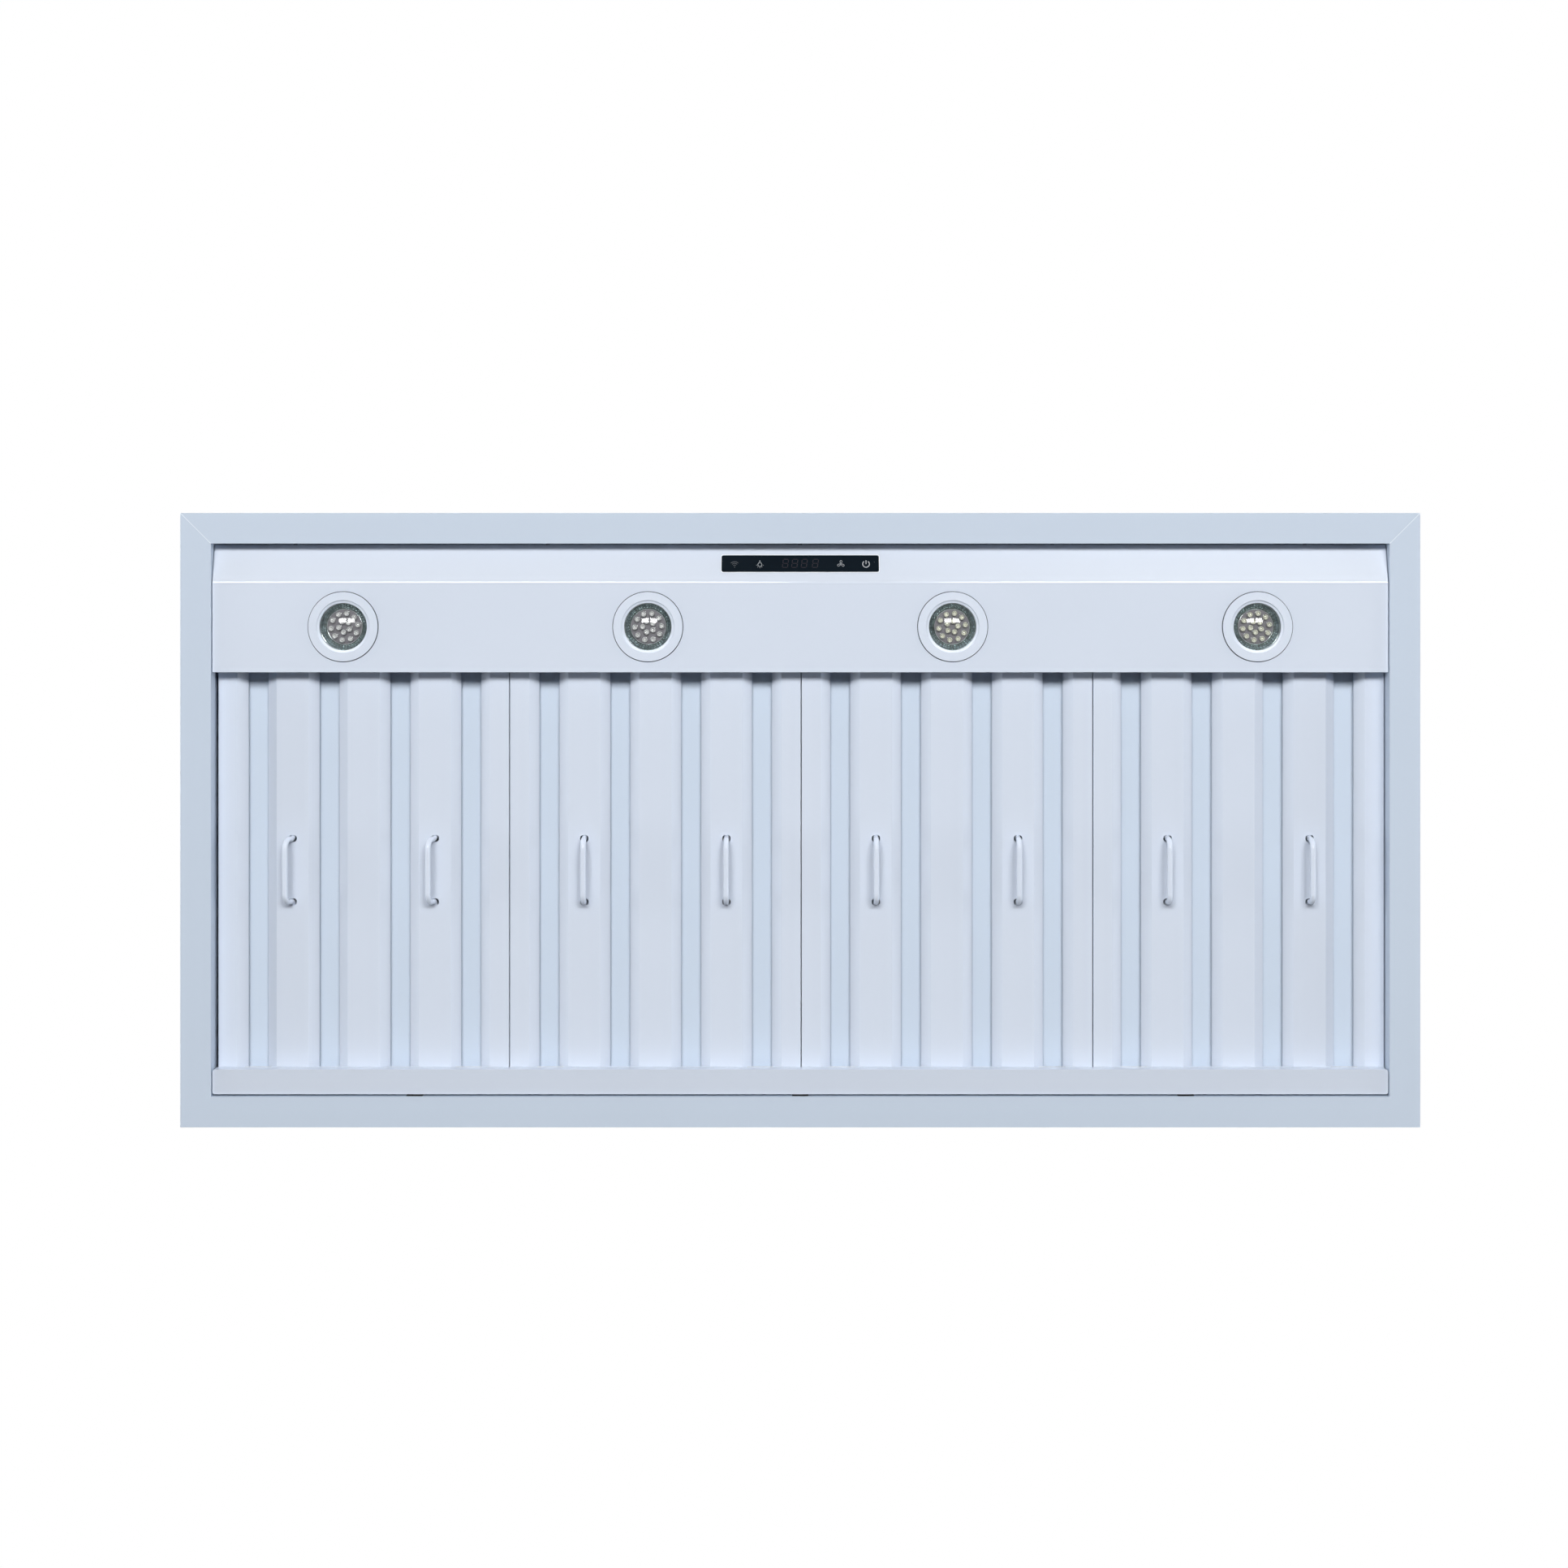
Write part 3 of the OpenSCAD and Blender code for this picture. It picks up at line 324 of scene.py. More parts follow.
# %% Metals and plastics
def zinc_sheet(name, colour):
    """Plated sheet: flat flowers of slightly different shine, and a fine grain."""
    look = Look(name)
    flowers = look.node("ShaderNodeTexVoronoi", None, {
        "Vector": look.place(), "Scale": 1 / (9 * MM), "Randomness": 1.0}, "Color")
    parts = look.node("ShaderNodeSeparateColor", None, {0: flowers})
    grain = look.noise(0.7 * MM, detail=3)
    shade = look.blend(parts * 0.6 + grain * 0.4, times(colour, 0.86), times(colour, 1.08))
    return look.finish(Base_Color=shade, Metallic=0.85, Roughness=0.34 + parts * 0.16,
                       Normal=look.bump(grain, 0.004 * MM))


def rolled_metal(name, colour, roughness, stretch, streak=1.2 * MM):
    """Strip or bar with marks drawn out along one axis."""
    look = Look(name)
    marks = look.noise(streak, detail=4, stretch=stretch)
    shade = look.blend(marks, times(colour, 0.88), times(colour, 1.08))
    return look.finish(Base_Color=shade, Metallic=1.0, Roughness=roughness + (marks - 0.5) * 0.16,
                       Normal=look.bump(marks, 0.006 * MM))


def moulded(name, colour, roughness, grain_size=0.5 * MM, depth=0.02 * MM):
    """Plastic or enamel with an etched grain."""
    look = Look(name)
    grain = look.noise(grain_size, detail=3)
    clouds = look.noise(30 * MM)
    shade = look.blend(clouds, times(colour, 0.9), times(colour, 1.12))
    return look.finish(Base_Color=shade, Roughness=roughness + (clouds - 0.5) * 0.12,
                       Normal=look.bump(grain, depth))


zinc = zinc_sheet("zinc_sheet", rgb(0.62, 0.64, 0.67))
wheel_metal = rolled_metal("wheel_metal", rgb(0.72, 0.73, 0.75), 0.3, (0.05, 1, 1))
shaft_metal = rolled_metal("shaft_metal", rgb(0.62, 0.62, 0.63), 0.2, (1, 0.08, 0.08), 0.8 * MM)
dark_steel = rolled_metal("dark_steel", rgb(0.035, 0.036, 0.040), 0.4, (1, 0.08, 0.08), 0.8 * MM)
dark_plastic = moulded("dark_plastic", rgb(0.022, 0.023, 0.026), 0.5)
motor_enamel = moulded("motor_enamel", rgb(0.016, 0.017, 0.019), 0.32, 1.4 * MM, 0.01 * MM)
metals = (zinc, wheel_metal, shaft_metal, dark_steel, dark_plastic, motor_enamel)
print("metals and plastics:", [made.name for made in metals])

# %% [markdown]
# ## Glass, reflector and light board
#
# The touch strip is glass with a black print behind it, so it is nearly black with a faint
# even shine. A lamp's front glass is thin and clear: what counts is its shine, so a Fresnel
# share of mirror is laid over plain see-through. Its reflector is dark, faintly green and
# faceted, and the board behind it is mauve grey with domes of clear resin over pale chips.


# %% Ways to make glass, mirror and print
def clear_glass(name, index):
    """Thin glass: see-through, with the mirror share that its index gives on the way in."""
    look = Look(name)
    leaving = look.node("ShaderNodeNewGeometry", None, None, "Backfacing")
    share = look.node("ShaderNodeFresnel", None, {"IOR": index}) * (1 - leaving)
    clear = look.node("ShaderNodeBsdfTransparent", None, {"Color": rgb(0.98, 0.985, 0.985)})
    shine = look.node("ShaderNodeBsdfGlossy", None, {"Color": rgb(1, 1, 1), "Roughness": 0.02})
    glass = look.node("ShaderNodeMixShader", None, {0: share, 1: clear, 2: shine})
    look.node("ShaderNodeOutputMaterial", None, {"Surface": glass})
    return look.material


strip_shine = 0.12


def touch_glass():
    """Black print behind glass, with a few smears in its shine."""
    look = Look("touch_glass")
    smears = look.noise(18 * MM, detail=4, stretch=(0.4, 1, 1))
    return look.finish(
        Base_Color=look.blend(smears, rgb(0.002, 0.006, 0.011), rgb(0.003, 0.008, 0.014)),
        Roughness=0.05 + smears * 0.05, IOR=1.45, Specular_IOR_Level=strip_shine)


def reflector_metal(name, dark, light, roughness=0.10, patch=5 * MM, metallic=0.9):
    """The facets' colour wanders between green and grey, as a thin dichroic layer does."""
    look = Look(name)
    patches = look.noise(patch, detail=2) ** 2.0 * 2.2
    streaks = look.noise(0.8 * MM, detail=2)
    return look.finish(Base_Color=look.blend(patches, dark, light), Metallic=metallic,
                       Roughness=roughness + streaks * 0.12)


def speckled(name, dark, light, size, roughness, depth=0.02 * MM):
    """A print, a moulding or a painted shadow whose colour varies in specks."""
    look = Look(name)
    specks = look.noise(size, detail=3)
    return look.finish(
        Base_Color=look.blend(specks, dark, light), Roughness=roughness + (specks - 0.5) * 0.1,
        Normal=look.bump(specks, depth))


print("glass, mirror and print are ready")

# %% [markdown]
# ## Finishes of the lamps and the strip
#
# With those ways at hand, each small finish is a line. Two of the lamps are a warmer kind, so
# the pale cups come in two shades. The gap round each lamp shows as a dark line, which is
# painted shadow: a blue-black ring put in the gap.

# %% Lamp and control finishes
lens_glass = clear_glass("lens_glass", 1.6)
dome_resin = clear_glass("dome_resin", 1.4)
black_glass = touch_glass()
reflector = reflector_metal("reflector", rgb(0.04, 0.075, 0.07), rgb(0.30, 0.37, 0.38),
                            patch=4 * MM)
ring_metal = reflector_metal("ring_metal", rgb(0.55, 0.58, 0.58), rgb(0.80, 0.82, 0.82))
board = speckled("led_board", rgb(0.105, 0.10, 0.113), rgb(0.18, 0.17, 0.192), 0.9 * MM, 0.45)
cup_finish = dict(roughness=0.2, patch=1.3 * MM, metallic=0.4)
chip_clear = reflector_metal("led_clear", rgb(0.36, 0.36, 0.36), rgb(1.0, 0.99, 0.98), **cup_finish)
chip_warm = reflector_metal("led_warm", rgb(0.46, 0.45, 0.36), rgb(1.0, 0.99, 0.84), **cup_finish)
# painted shadow: the blue black that fills the gap round each trim
gasket = speckled("gasket", rgb(0.030, 0.038, 0.055), rgb(0.055, 0.065, 0.090), 1.0 * MM, 0.6)
fine_finishes = (lens_glass, dome_resin, black_glass, reflector, ring_metal, board, chip_clear,
                 chip_warm, gasket)
print("lamp and control finishes:", [made.name for made in fine_finishes])

# %% [markdown]
# ## Handing a piece over
#
# A finished piece is a plain mesh at the origin that rides on a body of the hood. Whatever
# made it, modifiers or node trees, is baked down first, and the parts that it stands for
# stop showing.


# %% Helpers for pieces
bodies = frame["record"]["behaviour"]["bodies"]
body_of = {node: body for body, nodes in bodies.items() for node in nodes}
slot_of = {part["node"]: part["material_slot"] for part in frame["record"]["subparts"]}


def link(name, mesh):
    """A new object at the origin that shows a mesh."""
    made = bpy.data.objects.new(name, mesh)
    bpy.context.scene.collection.objects.link(made)
    return made


def baked(made):
    """Swaps an object's mesh for what its modifiers make of it."""
    seen = made.evaluated_get(bpy.context.evaluated_depsgraph_get())
    mesh = bpy.data.meshes.new_from_object(seen)
    made.modifiers.clear()
    made.data = mesh
    return made


def hand_over(made, body, slot, *nodes, material=None):
    """Makes an object a piece of the hood."""
    if material:
        made.data.materials.clear()
        made.data.materials.append(material)
    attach(made, body)
    if nodes:
        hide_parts(*nodes)


def dress(node, material):
    """Gives a part that keeps its own shape a finish."""
    for held in frame["nodes"][node].material_slots:
        held.material = material


print("bodies:", sorted(bodies))

# %% [markdown]
# ## Recipes for what repeats
#
# Lamps are full of repeats: fifteen lights on a board, dozens of facets in a reflector. In
# Geometry Nodes a repeat is one form and a rule for its places, so a `Recipe` is a tree that
# takes an object's own mesh as its form. Its inputs are named, and a modifier's inputs are
# set by their identifiers before anything is evaluated. The result is baked to plain mesh.


# %% Recipes
class Recipe(Web):
    """A Geometry Nodes tree with named inputs, which works on an object's own mesh."""

    def __init__(self, name, **kinds):
        super().__init__(bpy.data.node_groups.new(name, "GeometryNodeTree"))
        self.tree.is_modifier = True
        self.ids = {}
        self.tree.interface.new_socket(
            name="Made", in_out="OUTPUT", socket_type="NodeSocketGeometry")
        for key, kind in dict(form="Geometry", **kinds, finish="Material").items():
            socket = self.tree.interface.new_socket(
                name=key, in_out="INPUT", socket_type="NodeSocket" + kind)
            self.ids[key] = socket.identifier
        self.given = self.tree.nodes.new("NodeGroupInput")

    def __getitem__(self, key):
        return Wire(self, self.given.outputs[key])

    def join(self, *parts):
        """Several geometries as one."""
        whole = self.node("GeometryNodeJoinGeometry")
        for part in parts:
            self.tree.links.new(part.socket, whole.socket.node.inputs[0])
        return whole

    def copies(self, count, radius, turn, form):
        """Copies of a form on a circle, each turned to face outwards."""
        circle = self.node("GeometryNodeMeshCircle", None, {"Vertices": count, "Radius": radius})
        one_by_count = self.node("ShaderNodeMath", {"operation": "DIVIDE"}, {0: 1.0, 1: count})
        step = self.node("GeometryNodeInputIndex") * (2 * pi) * one_by_count
        angle = self.node("ShaderNodeCombineXYZ", None, {"Z": step})
        placed = self.node("GeometryNodeInstanceOnPoints", None, {
            "Points": circle, "Instance": form, "Rotation": angle})
        spin = self.node("ShaderNodeCombineXYZ", None, {"Z": turn})
        return self.node("GeometryNodeTransform", None, {"Geometry": placed, "Rotation": spin})

    def serve(self, geometry):
        """Ends the tree: copies become real mesh and get their material."""
        real = self.node("GeometryNodeRealizeInstances", None, {"Geometry": geometry})
        painted = self.node("GeometryNodeSetMaterial", None, {
            "Geometry": real, "Material": self["finish"]})
        self.node("NodeGroupOutput", None, {0: painted})

    def cook(self, name, form, finish, **values):
        """Runs the tree on a form and gives back an object of plain mesh."""
        made = link(name, form)
        step = made.modifiers.new(self.tree.name, "NODES")
        step.node_group = self.tree
        for key, value in dict(values, finish=finish).items():
            step[self.ids[key]] = value
        return baked(made)


print("recipes can be written")

# %% [markdown]
# ## Three recipes
#
# The first sets copies of a form on a circle and turns each one outwards, which is how a
# mirror's facets stand. The second does the same on two circles, for a light board. The third
# runs a round bead along drawn lines, for print that has a real thickness.

# %% The trees
ring = Recipe("ring_of_copies", count="Int", radius="Float", turn="Float")
ring.serve(ring.copies(ring["count"], ring["radius"], ring["turn"], ring["form"]))

two_rings = Recipe("two_rings_of_copies", outer="Int", outer_radius="Float", outer_turn="Float",
                   inner="Int", inner_radius="Float", inner_turn="Float")
two_rings.serve(two_rings.join(*(
    two_rings.copies(two_rings[which], two_rings[which + "_radius"], two_rings[which + "_turn"],
                     two_rings["form"])
    for which in ("outer", "inner"))))

stroke = Recipe("stroke_along_lines", width="Float")
bead = stroke.node("GeometryNodeCurvePrimitiveCircle", None, {
    "Resolution": 8, "Radius": stroke["width"] * 0.5})
drawn = stroke.node("GeometryNodeMeshToCurve", None, {"Mesh": stroke["form"]})
stroke.serve(stroke.node("GeometryNodeCurveToMesh", None, {
    "Curve": drawn, "Profile Curve": bead, "Fill Caps": True}))
print("recipes:", [recipe.tree.name for recipe in (ring, two_rings, stroke)])

# %% [markdown]
# ## Turned forms
#
# A lamp's rings, cups and bullets are all turned: one outline goes round an axis. A Screw
# modifier could do it, but an outline that touches the axis would leave a hole or a fold
# there. So the rings of points are joined in code, and a point on the axis is made once.


# %% Turning an outline
def turned(name, outline, steps, loop=False, crease=40):
    """Turns an outline of (radius, height) in millimetres round the z axis into a closed form."""
    form = bmesh.new()
    rings = []
    for radius, height in outline:
        angles = [2 * pi * i / steps for i in range(steps if radius else 1)]
        rings.append([form.verts.new((radius * MM * cos(a), radius * MM * sin(a), height * MM))
                      for a in angles])
    for low, high in zip(rings, rings[1:] + (rings[:1] if loop else [])):
        for i in range(steps):
            corners = [low[i % len(low)], low[(i + 1) % len(low)],
                       high[(i + 1) % len(high)], high[i % len(high)]]
            form.faces.new(list(dict.fromkeys(corners)))
    bmesh.ops.recalc_face_normals(form, faces=form.faces)
    for face in form.faces:
        face.smooth = True
    mesh = bpy.data.meshes.new(name)
    form.to_mesh(mesh)
    form.free()
    mesh.set_sharp_from_angle(angle=radians(crease))
    return mesh


def bow(radius, low, high, centre_height, steps, centre_radius=0):
    """Points of an arc between two angles in degrees, as (radius, height)."""
    angles = [radians(low + (high - low) * i / steps) for i in range(steps + 1)]
    return [(centre_radius + radius * cos(a), centre_height + radius * sin(a)) for a in angles]


def moved(mesh, place):
    """Puts a form's mesh where it belongs, so that its object stays at the origin."""
    mesh.transform(Matrix.Translation(place))
    return mesh


print("turned forms are ready")

# %% [markdown]
# ## Rounding folded sheet
#
# A press brake can't fold a sheet to a sharp corner, and the thin bright line along each
# fold is what makes metal look like metal. A copy of each part gets its folds and rims
# rounded by a Bevel modifier. Each edge's weight says how round: a rule looks at where the
# edge lies and how far it turns, so folds get a wide radius and cut rims a narrow one.


# %% Rounded copies
same_place = 0.002 * MM
flat_turn = 0.6
sharp_turn = 50


def rounded(node, material, fold, is_fold, rim=0.28 * MM, least_turn=20, steps=3):
    """A copy of a part with its folds and rims rounded, which stands for the part."""
    mesh = bpy.data.meshes.new(node + "_rounded")
    form = bmesh.new()
    form.from_mesh(frame["nodes"][node].data)
    bmesh.ops.remove_doubles(form, verts=form.verts, dist=same_place)
    bmesh.ops.dissolve_limit(
        form, angle_limit=radians(flat_turn), verts=form.verts, edges=form.edges)
    bmesh.ops.connect_verts_concave(form, faces=form.faces)
    weights = form.edges.layers.float.new("bevel_weight_edge")
    for edge in form.edges:
        if len(edge.link_faces) != 2:
            continue
        turn = degrees(edge.calc_face_angle(0))
        share = is_fold(edge, turn)
        if share:
            edge[weights] = share
        elif turn > least_turn:
            edge[weights] = rim / fold
    for face in form.faces:
        face.smooth = True
    form.to_mesh(mesh)
    form.free()
    made = link(node + "_rounded", mesh)
    bevel = made.modifiers.new("rounding", "BEVEL")
    bevel.width = fold
    bevel.segments = steps
    bevel.limit_method = "WEIGHT"
    bevel.use_clamp_overlap = True
    bevel.miter_outer = "MITER_ARC"
    baked(made)
    made.data.set_sharp_from_angle(angle=radians(sharp_turn))
    flatter = made.modifiers.new("flat faces", "WEIGHTED_NORMAL")
    flatter.weight = 100
    flatter.keep_sharp = True
    baked(made)
    hand_over(made, body_of[node], slot_of[node], node, material=material)


print("rounding is ready")

# %% [markdown]
# ## Which edges are folds
#
# Each part has its own rule. The canopy and the long parts fold along their length, so
# length tells a fold from a notch. The baffles fold from front to back. The light panel's
# crease is a gentle bend, which gets the widest radius.


# %% Rules and rounded parts
def along(edge, axis):
    """True if an edge runs along an axis: 0 is x, 1 is y and 2 is z."""
    way = (edge.verts[1].co - edge.verts[0].co).normalized()
    return abs(way[axis]) > 0.999


def middle(edge):
    """The point halfway along an edge."""
    return (edge.verts[0].co + edge.verts[1].co) / 2


def canopy_fold(edge, turn):
    """The canopy folds along its outer faces and along the rim."""
    whole_side = edge.calc_length() > 150 * MM
    return 25 < turn < 100 and whole_side and middle(edge).z < rim_high.z + MM


def long_fold(edge, turn):
    """A fold in a long part: it runs the part's length and turns the sheet."""
    return turn > 10 and edge.calc_length() > 100 * MM


def panel_fold(edge, turn):
    """The light panel's crease is a gentle bend, and its rear fold a tight one."""
    return long_fold(edge, turn) and (1.0 if turn < 30 else 0.6)


def baffle_fold(edge, turn):
    """A fold of a baffle runs from front to back."""
    return along(edge, 1) and turn > 20 and edge.calc_length() > 30 * MM


rounded("canopy_shell", canopy_coat, fold=1.6 * MM, is_fold=canopy_fold)
rounded("light_panel", light_panel_coat, fold=2.2 * MM, is_fold=panel_fold, steps=4)
rounded("grease_trough", trough_coat, fold=1.0 * MM, is_fold=long_fold)
plain_sheets = ("flue_lower", "flue_upper", "back_panel")
for part in plain_sheets:
    rounded(part, coat, fold=1.2 * MM, is_fold=long_fold)
for number in range(1, filter_count + 1):
    for part, finish in (("frame", coat), ("upper_baffles", shaded_baffle_coat)):
        rounded(f"filter_{number}_{part}", finish, fold=0.9 * MM, rim=0.2 * MM, is_fold=baffle_fold)
print("rounded sheets:", 3 + len(plain_sheets) + 2 * filter_count)

# %% [markdown]
# ## Parts that keep their own shape
#
# The remaining parts are round or small, and their shapes are right as they come. They only
# need their finishes.

# %% Finishes for the other parts
for number in range(1, lamp_count + 1):
    dress(f"lamp_{number}_trim", trim_coat)
    dress(f"lamp_{number}_glass", lens_glass)
    dress(f"lamp_{number}_bulb", reflector)
    dress(f"lamp_{number}_leds", board)
for number in range(1, filter_count + 1):
    for side in ("left", "right"):
        dress(f"filter_{number}_handle_{side}", handle_coat)
for part in ("rear_ledge", "blower_housing", "inlet_rings", "motor_bracket", "exhaust_collar",
             "damper_flap_front", "damper_flap_rear", "ceiling_bracket", "junction_box"):
    dress(part, zinc)
for part in ("blower_screws", "flue_screws", "damper_pin", "blower_shaft"):
    dress(part, shaft_metal)
dress("light_panel_screws", dark_steel)
dress("trough_clips", dark_steel)
dress("blower_wheel", wheel_metal)
dress("motor", motor_enamel)
dress("control_housing", dark_plastic)
dress("power_box", dark_plastic)
dress("control_glass", black_glass)
print("dressed parts:", sum(bool(node.material_slots) for node in frame["nodes"].values()))

# %% [markdown]
# ## Lamps, close up
#
# Each lamp is a reflector bulb behind a domed glass. On its board sit fifteen lights, each a
# little clear bullet over a pale cup, ten in a ring round five. The bulbs were pushed in at
# different angles, so each board is turned its own way, and two of them are a warmer kind.
# The cup's mirror is pressed in facets, and each facet bulges a little so that it catches
# its own speck of the studio light.

# %% Lights on the boards
board_z = 9
board_r = 17.1
bullet_r = 2.8
light_ring_count, light_ring_r = 10, 13.3
light_core_count, light_core_r = 5, 5.6
clear_lamps = 2
board_turns = {1: (-8, 27), 2: (-3, 35), 3: (-8, -6), 4: (-9, 24)}
bullet = ([(0, -0.05), (3.1, -0.05), (3.1, -0.7), (bullet_r, -0.8)]
          + bow(bullet_r, 0, -80, -2.1, 6) + [(0, -4.9)])
cup = [(0, -2.9), (0.5, -2.85), (0.7, -2.1), (1.05, -2.1), (1.25, -2.9), (2.0, -3.3),
       (2.68, -2.7), (2.68, -0.15), (0, -0.15)]
disc = [(0, 0), (board_r, 0), (board_r, 1.6), (0, 1.6)]


def lamp_place(number):
    """The point on the light panel's underside at a lamp's centre."""
    middle_of_lamp = centre(f"lamp_{number}_trim")
    return Vector((middle_of_lamp.x, middle_of_lamp.y, panel_low.z))


for number in range(1, lamp_count + 1):
    outer_turn, inner_turn = (radians(angle) for angle in board_turns[number])
    place = lamp_place(number) + Vector((0, 0, board_z * MM))
    rings = dict(
        outer=light_ring_count, outer_radius=light_ring_r * MM, outer_turn=outer_turn,
        inner=light_core_count, inner_radius=light_core_r * MM, inner_turn=inner_turn)
    body, slot = body_of[f"lamp_{number}_leds"], slot_of[f"lamp_{number}_leds"]
    plate = link(f"lamp_{number}_board", moved(turned("board", disc, 64), place))
    hand_over(plate, body, slot, f"lamp_{number}_leds", material=board)
    chip = chip_clear if number <= clear_lamps else chip_warm
    for name, outline, steps, finish in (("cups", cup, 16, chip),
                                         ("bullets", bullet, 20, dome_resin)):
        form = turned(name, outline, steps)
        lights = two_rings.cook(f"lamp_{number}_{name}", form, finish, **rings)
        moved(lights.data, place)
        hand_over(lights, body, slot)
print("lights:", (light_ring_count + light_core_count) * lamp_count)

# %% [markdown]
# ## Mirror facets
#
# A facet is a small square of the mirror, pressed to bulge in its middle. A flat square would
# mirror one spot and look dead. Bump could bend its shine, but the mirror is seen from close
# by and should be true in shape. So each facet is a little grid whose points are lifted, most
# in the middle and not at all at its edges.

# %% One facet
facet_count = 44


def facet(name, outer, inner, bulge=0.26, cells=4):
    """One bulging facet of the cup, between two circles."""
    form = bmesh.new()
    half = pi / facet_count
    grid = []
    for j in range(cells + 1):
        v = j / cells
        for i in range(cells + 1):
            u = i / cells
            rise = bulge * 16 * u * (1 - u) * v * (1 - v)
            radius = outer[0] + (inner[0] - outer[0]) * v - rise * 0.6
            height = outer[1] + (inner[1] - outer[1]) * v - rise * 0.8
            angle = (2 * u - 1) * half
            grid.append(form.verts.new(
                (radius * cos(angle) * MM, radius * sin(angle) * MM, height * MM)))
    for j in range(cells):
        for i in range(cells):
            low, high = j * (cells + 1) + i, (j + 1) * (cells + 1) + i
            face = form.faces.new([grid[low], grid[low + 1], grid[high + 1], grid[high]])
            face.smooth = True
    mesh = bpy.data.meshes.new(name)
    form.to_mesh(mesh)
    form.free()
    return mesh


print("a facet is", round(360 / facet_count, 1), "degrees wide")

# %% [markdown]
# ## Mirrors and fine rings
#
# Three facets, one above the other, make a strip of the cup from its mouth to its board, and
# the ring recipe turns 44 such strips into the mirror. A Solidify modifier gives it the
# thickness of foil. Round each mirror lie two bright rings, and a dark ring of painted
# shadow fills the gap round the trim.

# %% Mirrors and rings
mirror_rows = [(23.1, 4.95), (21.4, 6.1), (19.6, 7.3), (17.75, 8.5)]
edge_ring = bow(0.28, 0, 315, 8.72, 7, 17.35)
front_ring = bow(0.22, 0, 315, 4.85, 7, 23.0)
# the gap ring is painted shadow, a dark ring put in the gap round the trim
gap_ring = [(34.2, -0.2), (34.2, -1.24), (34.62, -0.83), (34.95, -0.1), (34.95, -0.02),
            (34.6, -0.02)]
for number in range(1, lamp_count + 1):
    body, slot = body_of[f"lamp_{number}_bulb"], slot_of[f"lamp_{number}_bulb"]
    rows = bmesh.new()
    for outer, inner in zip(mirror_rows, mirror_rows[1:]):
        rows.from_mesh(facet("facet", outer, inner))
    bands = bpy.data.meshes.new("facets")
    rows.to_mesh(bands)
    rows.free()
    mirror = ring.cook(f"lamp_{number}_facets", bands, reflector, count=facet_count, radius=0.0,
                       turn=radians(3.0 * number))
    foil = mirror.modifiers.new("foil", "SOLIDIFY")
    foil.thickness = 0.08 * MM
    foil.offset = 0
    baked(mirror)
    hand_over(mirror, body, slot)
    moved(mirror.data, lamp_place(number))
    for name, outline, finish, owner in (("edge_ring", edge_ring, ring_metal, "bulb"),
                                         ("front_ring", front_ring, ring_metal, "bulb"),
                                         ("gap_ring", gap_ring, gasket, "trim")):
        form = moved(turned(name, outline, 96, loop=True), lamp_place(number))
        hand_over(link(f"lamp_{number}_{name}", form), body, slot_of[f"lamp_{number}_{owner}"],
                  material=finish)
print("facets:", facet_count * (len(mirror_rows) - 1) * lamp_count)

# %% [markdown]
# ## Touch marks
#
# The strip's marks are printed behind the glass and light up when touched. Unlit they are
# thin grey lines: waves over a dot, a hanging lamp, a fan with three blades and a power
# sign, with the faint ghosts of four digits between them. Each mark is drawn as lines in the
# strip's own plane, and a recipe runs a fine round bead along the lines. Pressed nearly
# flat, the bead is a printed line with real thickness, which no bump could give.

# %% The strip's plane
strip_faces = frame["nodes"]["control_glass"].data.polygons
strip_front = max((face for face in strip_faces if face.normal.z < 0), key=lambda face: face.area)
strip_out = strip_front.normal.normalized()
strip_right = Vector((1, 0, 0))
strip_up = strip_out.cross(strip_right)
strip_middle = centre("control_glass")
strip_middle += strip_out * (strip_front.center - strip_middle).dot(strip_out)
strip_place = Matrix((strip_right, strip_up, strip_out)).transposed().to_4x4()
strip_place.translation = strip_middle
strip_lean = strip_out.angle(Vector((0, 0, -1)))
print("strip leans", round(degrees(strip_lean), 1), "degrees")

# %% [markdown]
# ## Lines for the marks
#
# Every mark is made of a few kinds of line, in millimetres from the strip's middle: arcs,
# short spokes, the blades of a fan and the segments of a digit. A helper for each kind keeps
# the drawing itself down to a short table.


# %% Kinds of line
def arc(x, y, radius, start, end, steps=16):
    """Points on an arc, angles in degrees from the right."""
    angles = [radians(start + (end - start) * i / steps) for i in range(steps + 1)]
    return [(x + radius * cos(a), y + radius * sin(a)) for a in angles]


def spoke(x, y, angle, start, end):
    """A short line that points away from a middle."""
    way = cos(radians(angle)), sin(radians(angle))
    return [(x + way[0] * r, y + way[1] * r) for r in (start, end)]


def blade(x, y, angle):
    """A fan blade's outline, which starts and ends at the hub."""
    shape = [(0.75, -0.45), (1.9, -1.0), (3.0, -1.05), (3.6, -0.5),
             (3.6, 0.35), (3.0, 0.85), (1.9, 0.8), (0.75, 0.45)]
    turn = Matrix.Rotation(radians(angle), 2)
    return [(x + place.x, y + place.y) for place in (turn @ Vector(point) for point in shape)]


def digit(x, y, width=5.2, height=8.4, lean=0.14):
    """All seven segments of a digit that leans a little."""
    gap = 0.5
    half, rise = width / 2, height / 2

    def corner(across, up):
        return x + across + lean * up, y + up

    level = [[corner(gap - half, up), corner(half - gap, up)] for up in (-rise, 0, rise)]
    upright = [[corner(side * half, up + gap), corner(side * half, up + rise - gap)]
               for side in (-1, 1) for up in (-rise, 0)]
    return level + upright


print("a digit has", len(digit(0, 0)), "segments")

# %% [markdown]
# ## Print and outline
#
# The print lies behind the strip's glass, so it shares the glass's faint shine and only its
# colour differs. The bright line round the strip is a painted highlight along the edge of the
# panel's sheet. It follows the strip's own box, grown by a hair, so it can't drift away from
# the strip.

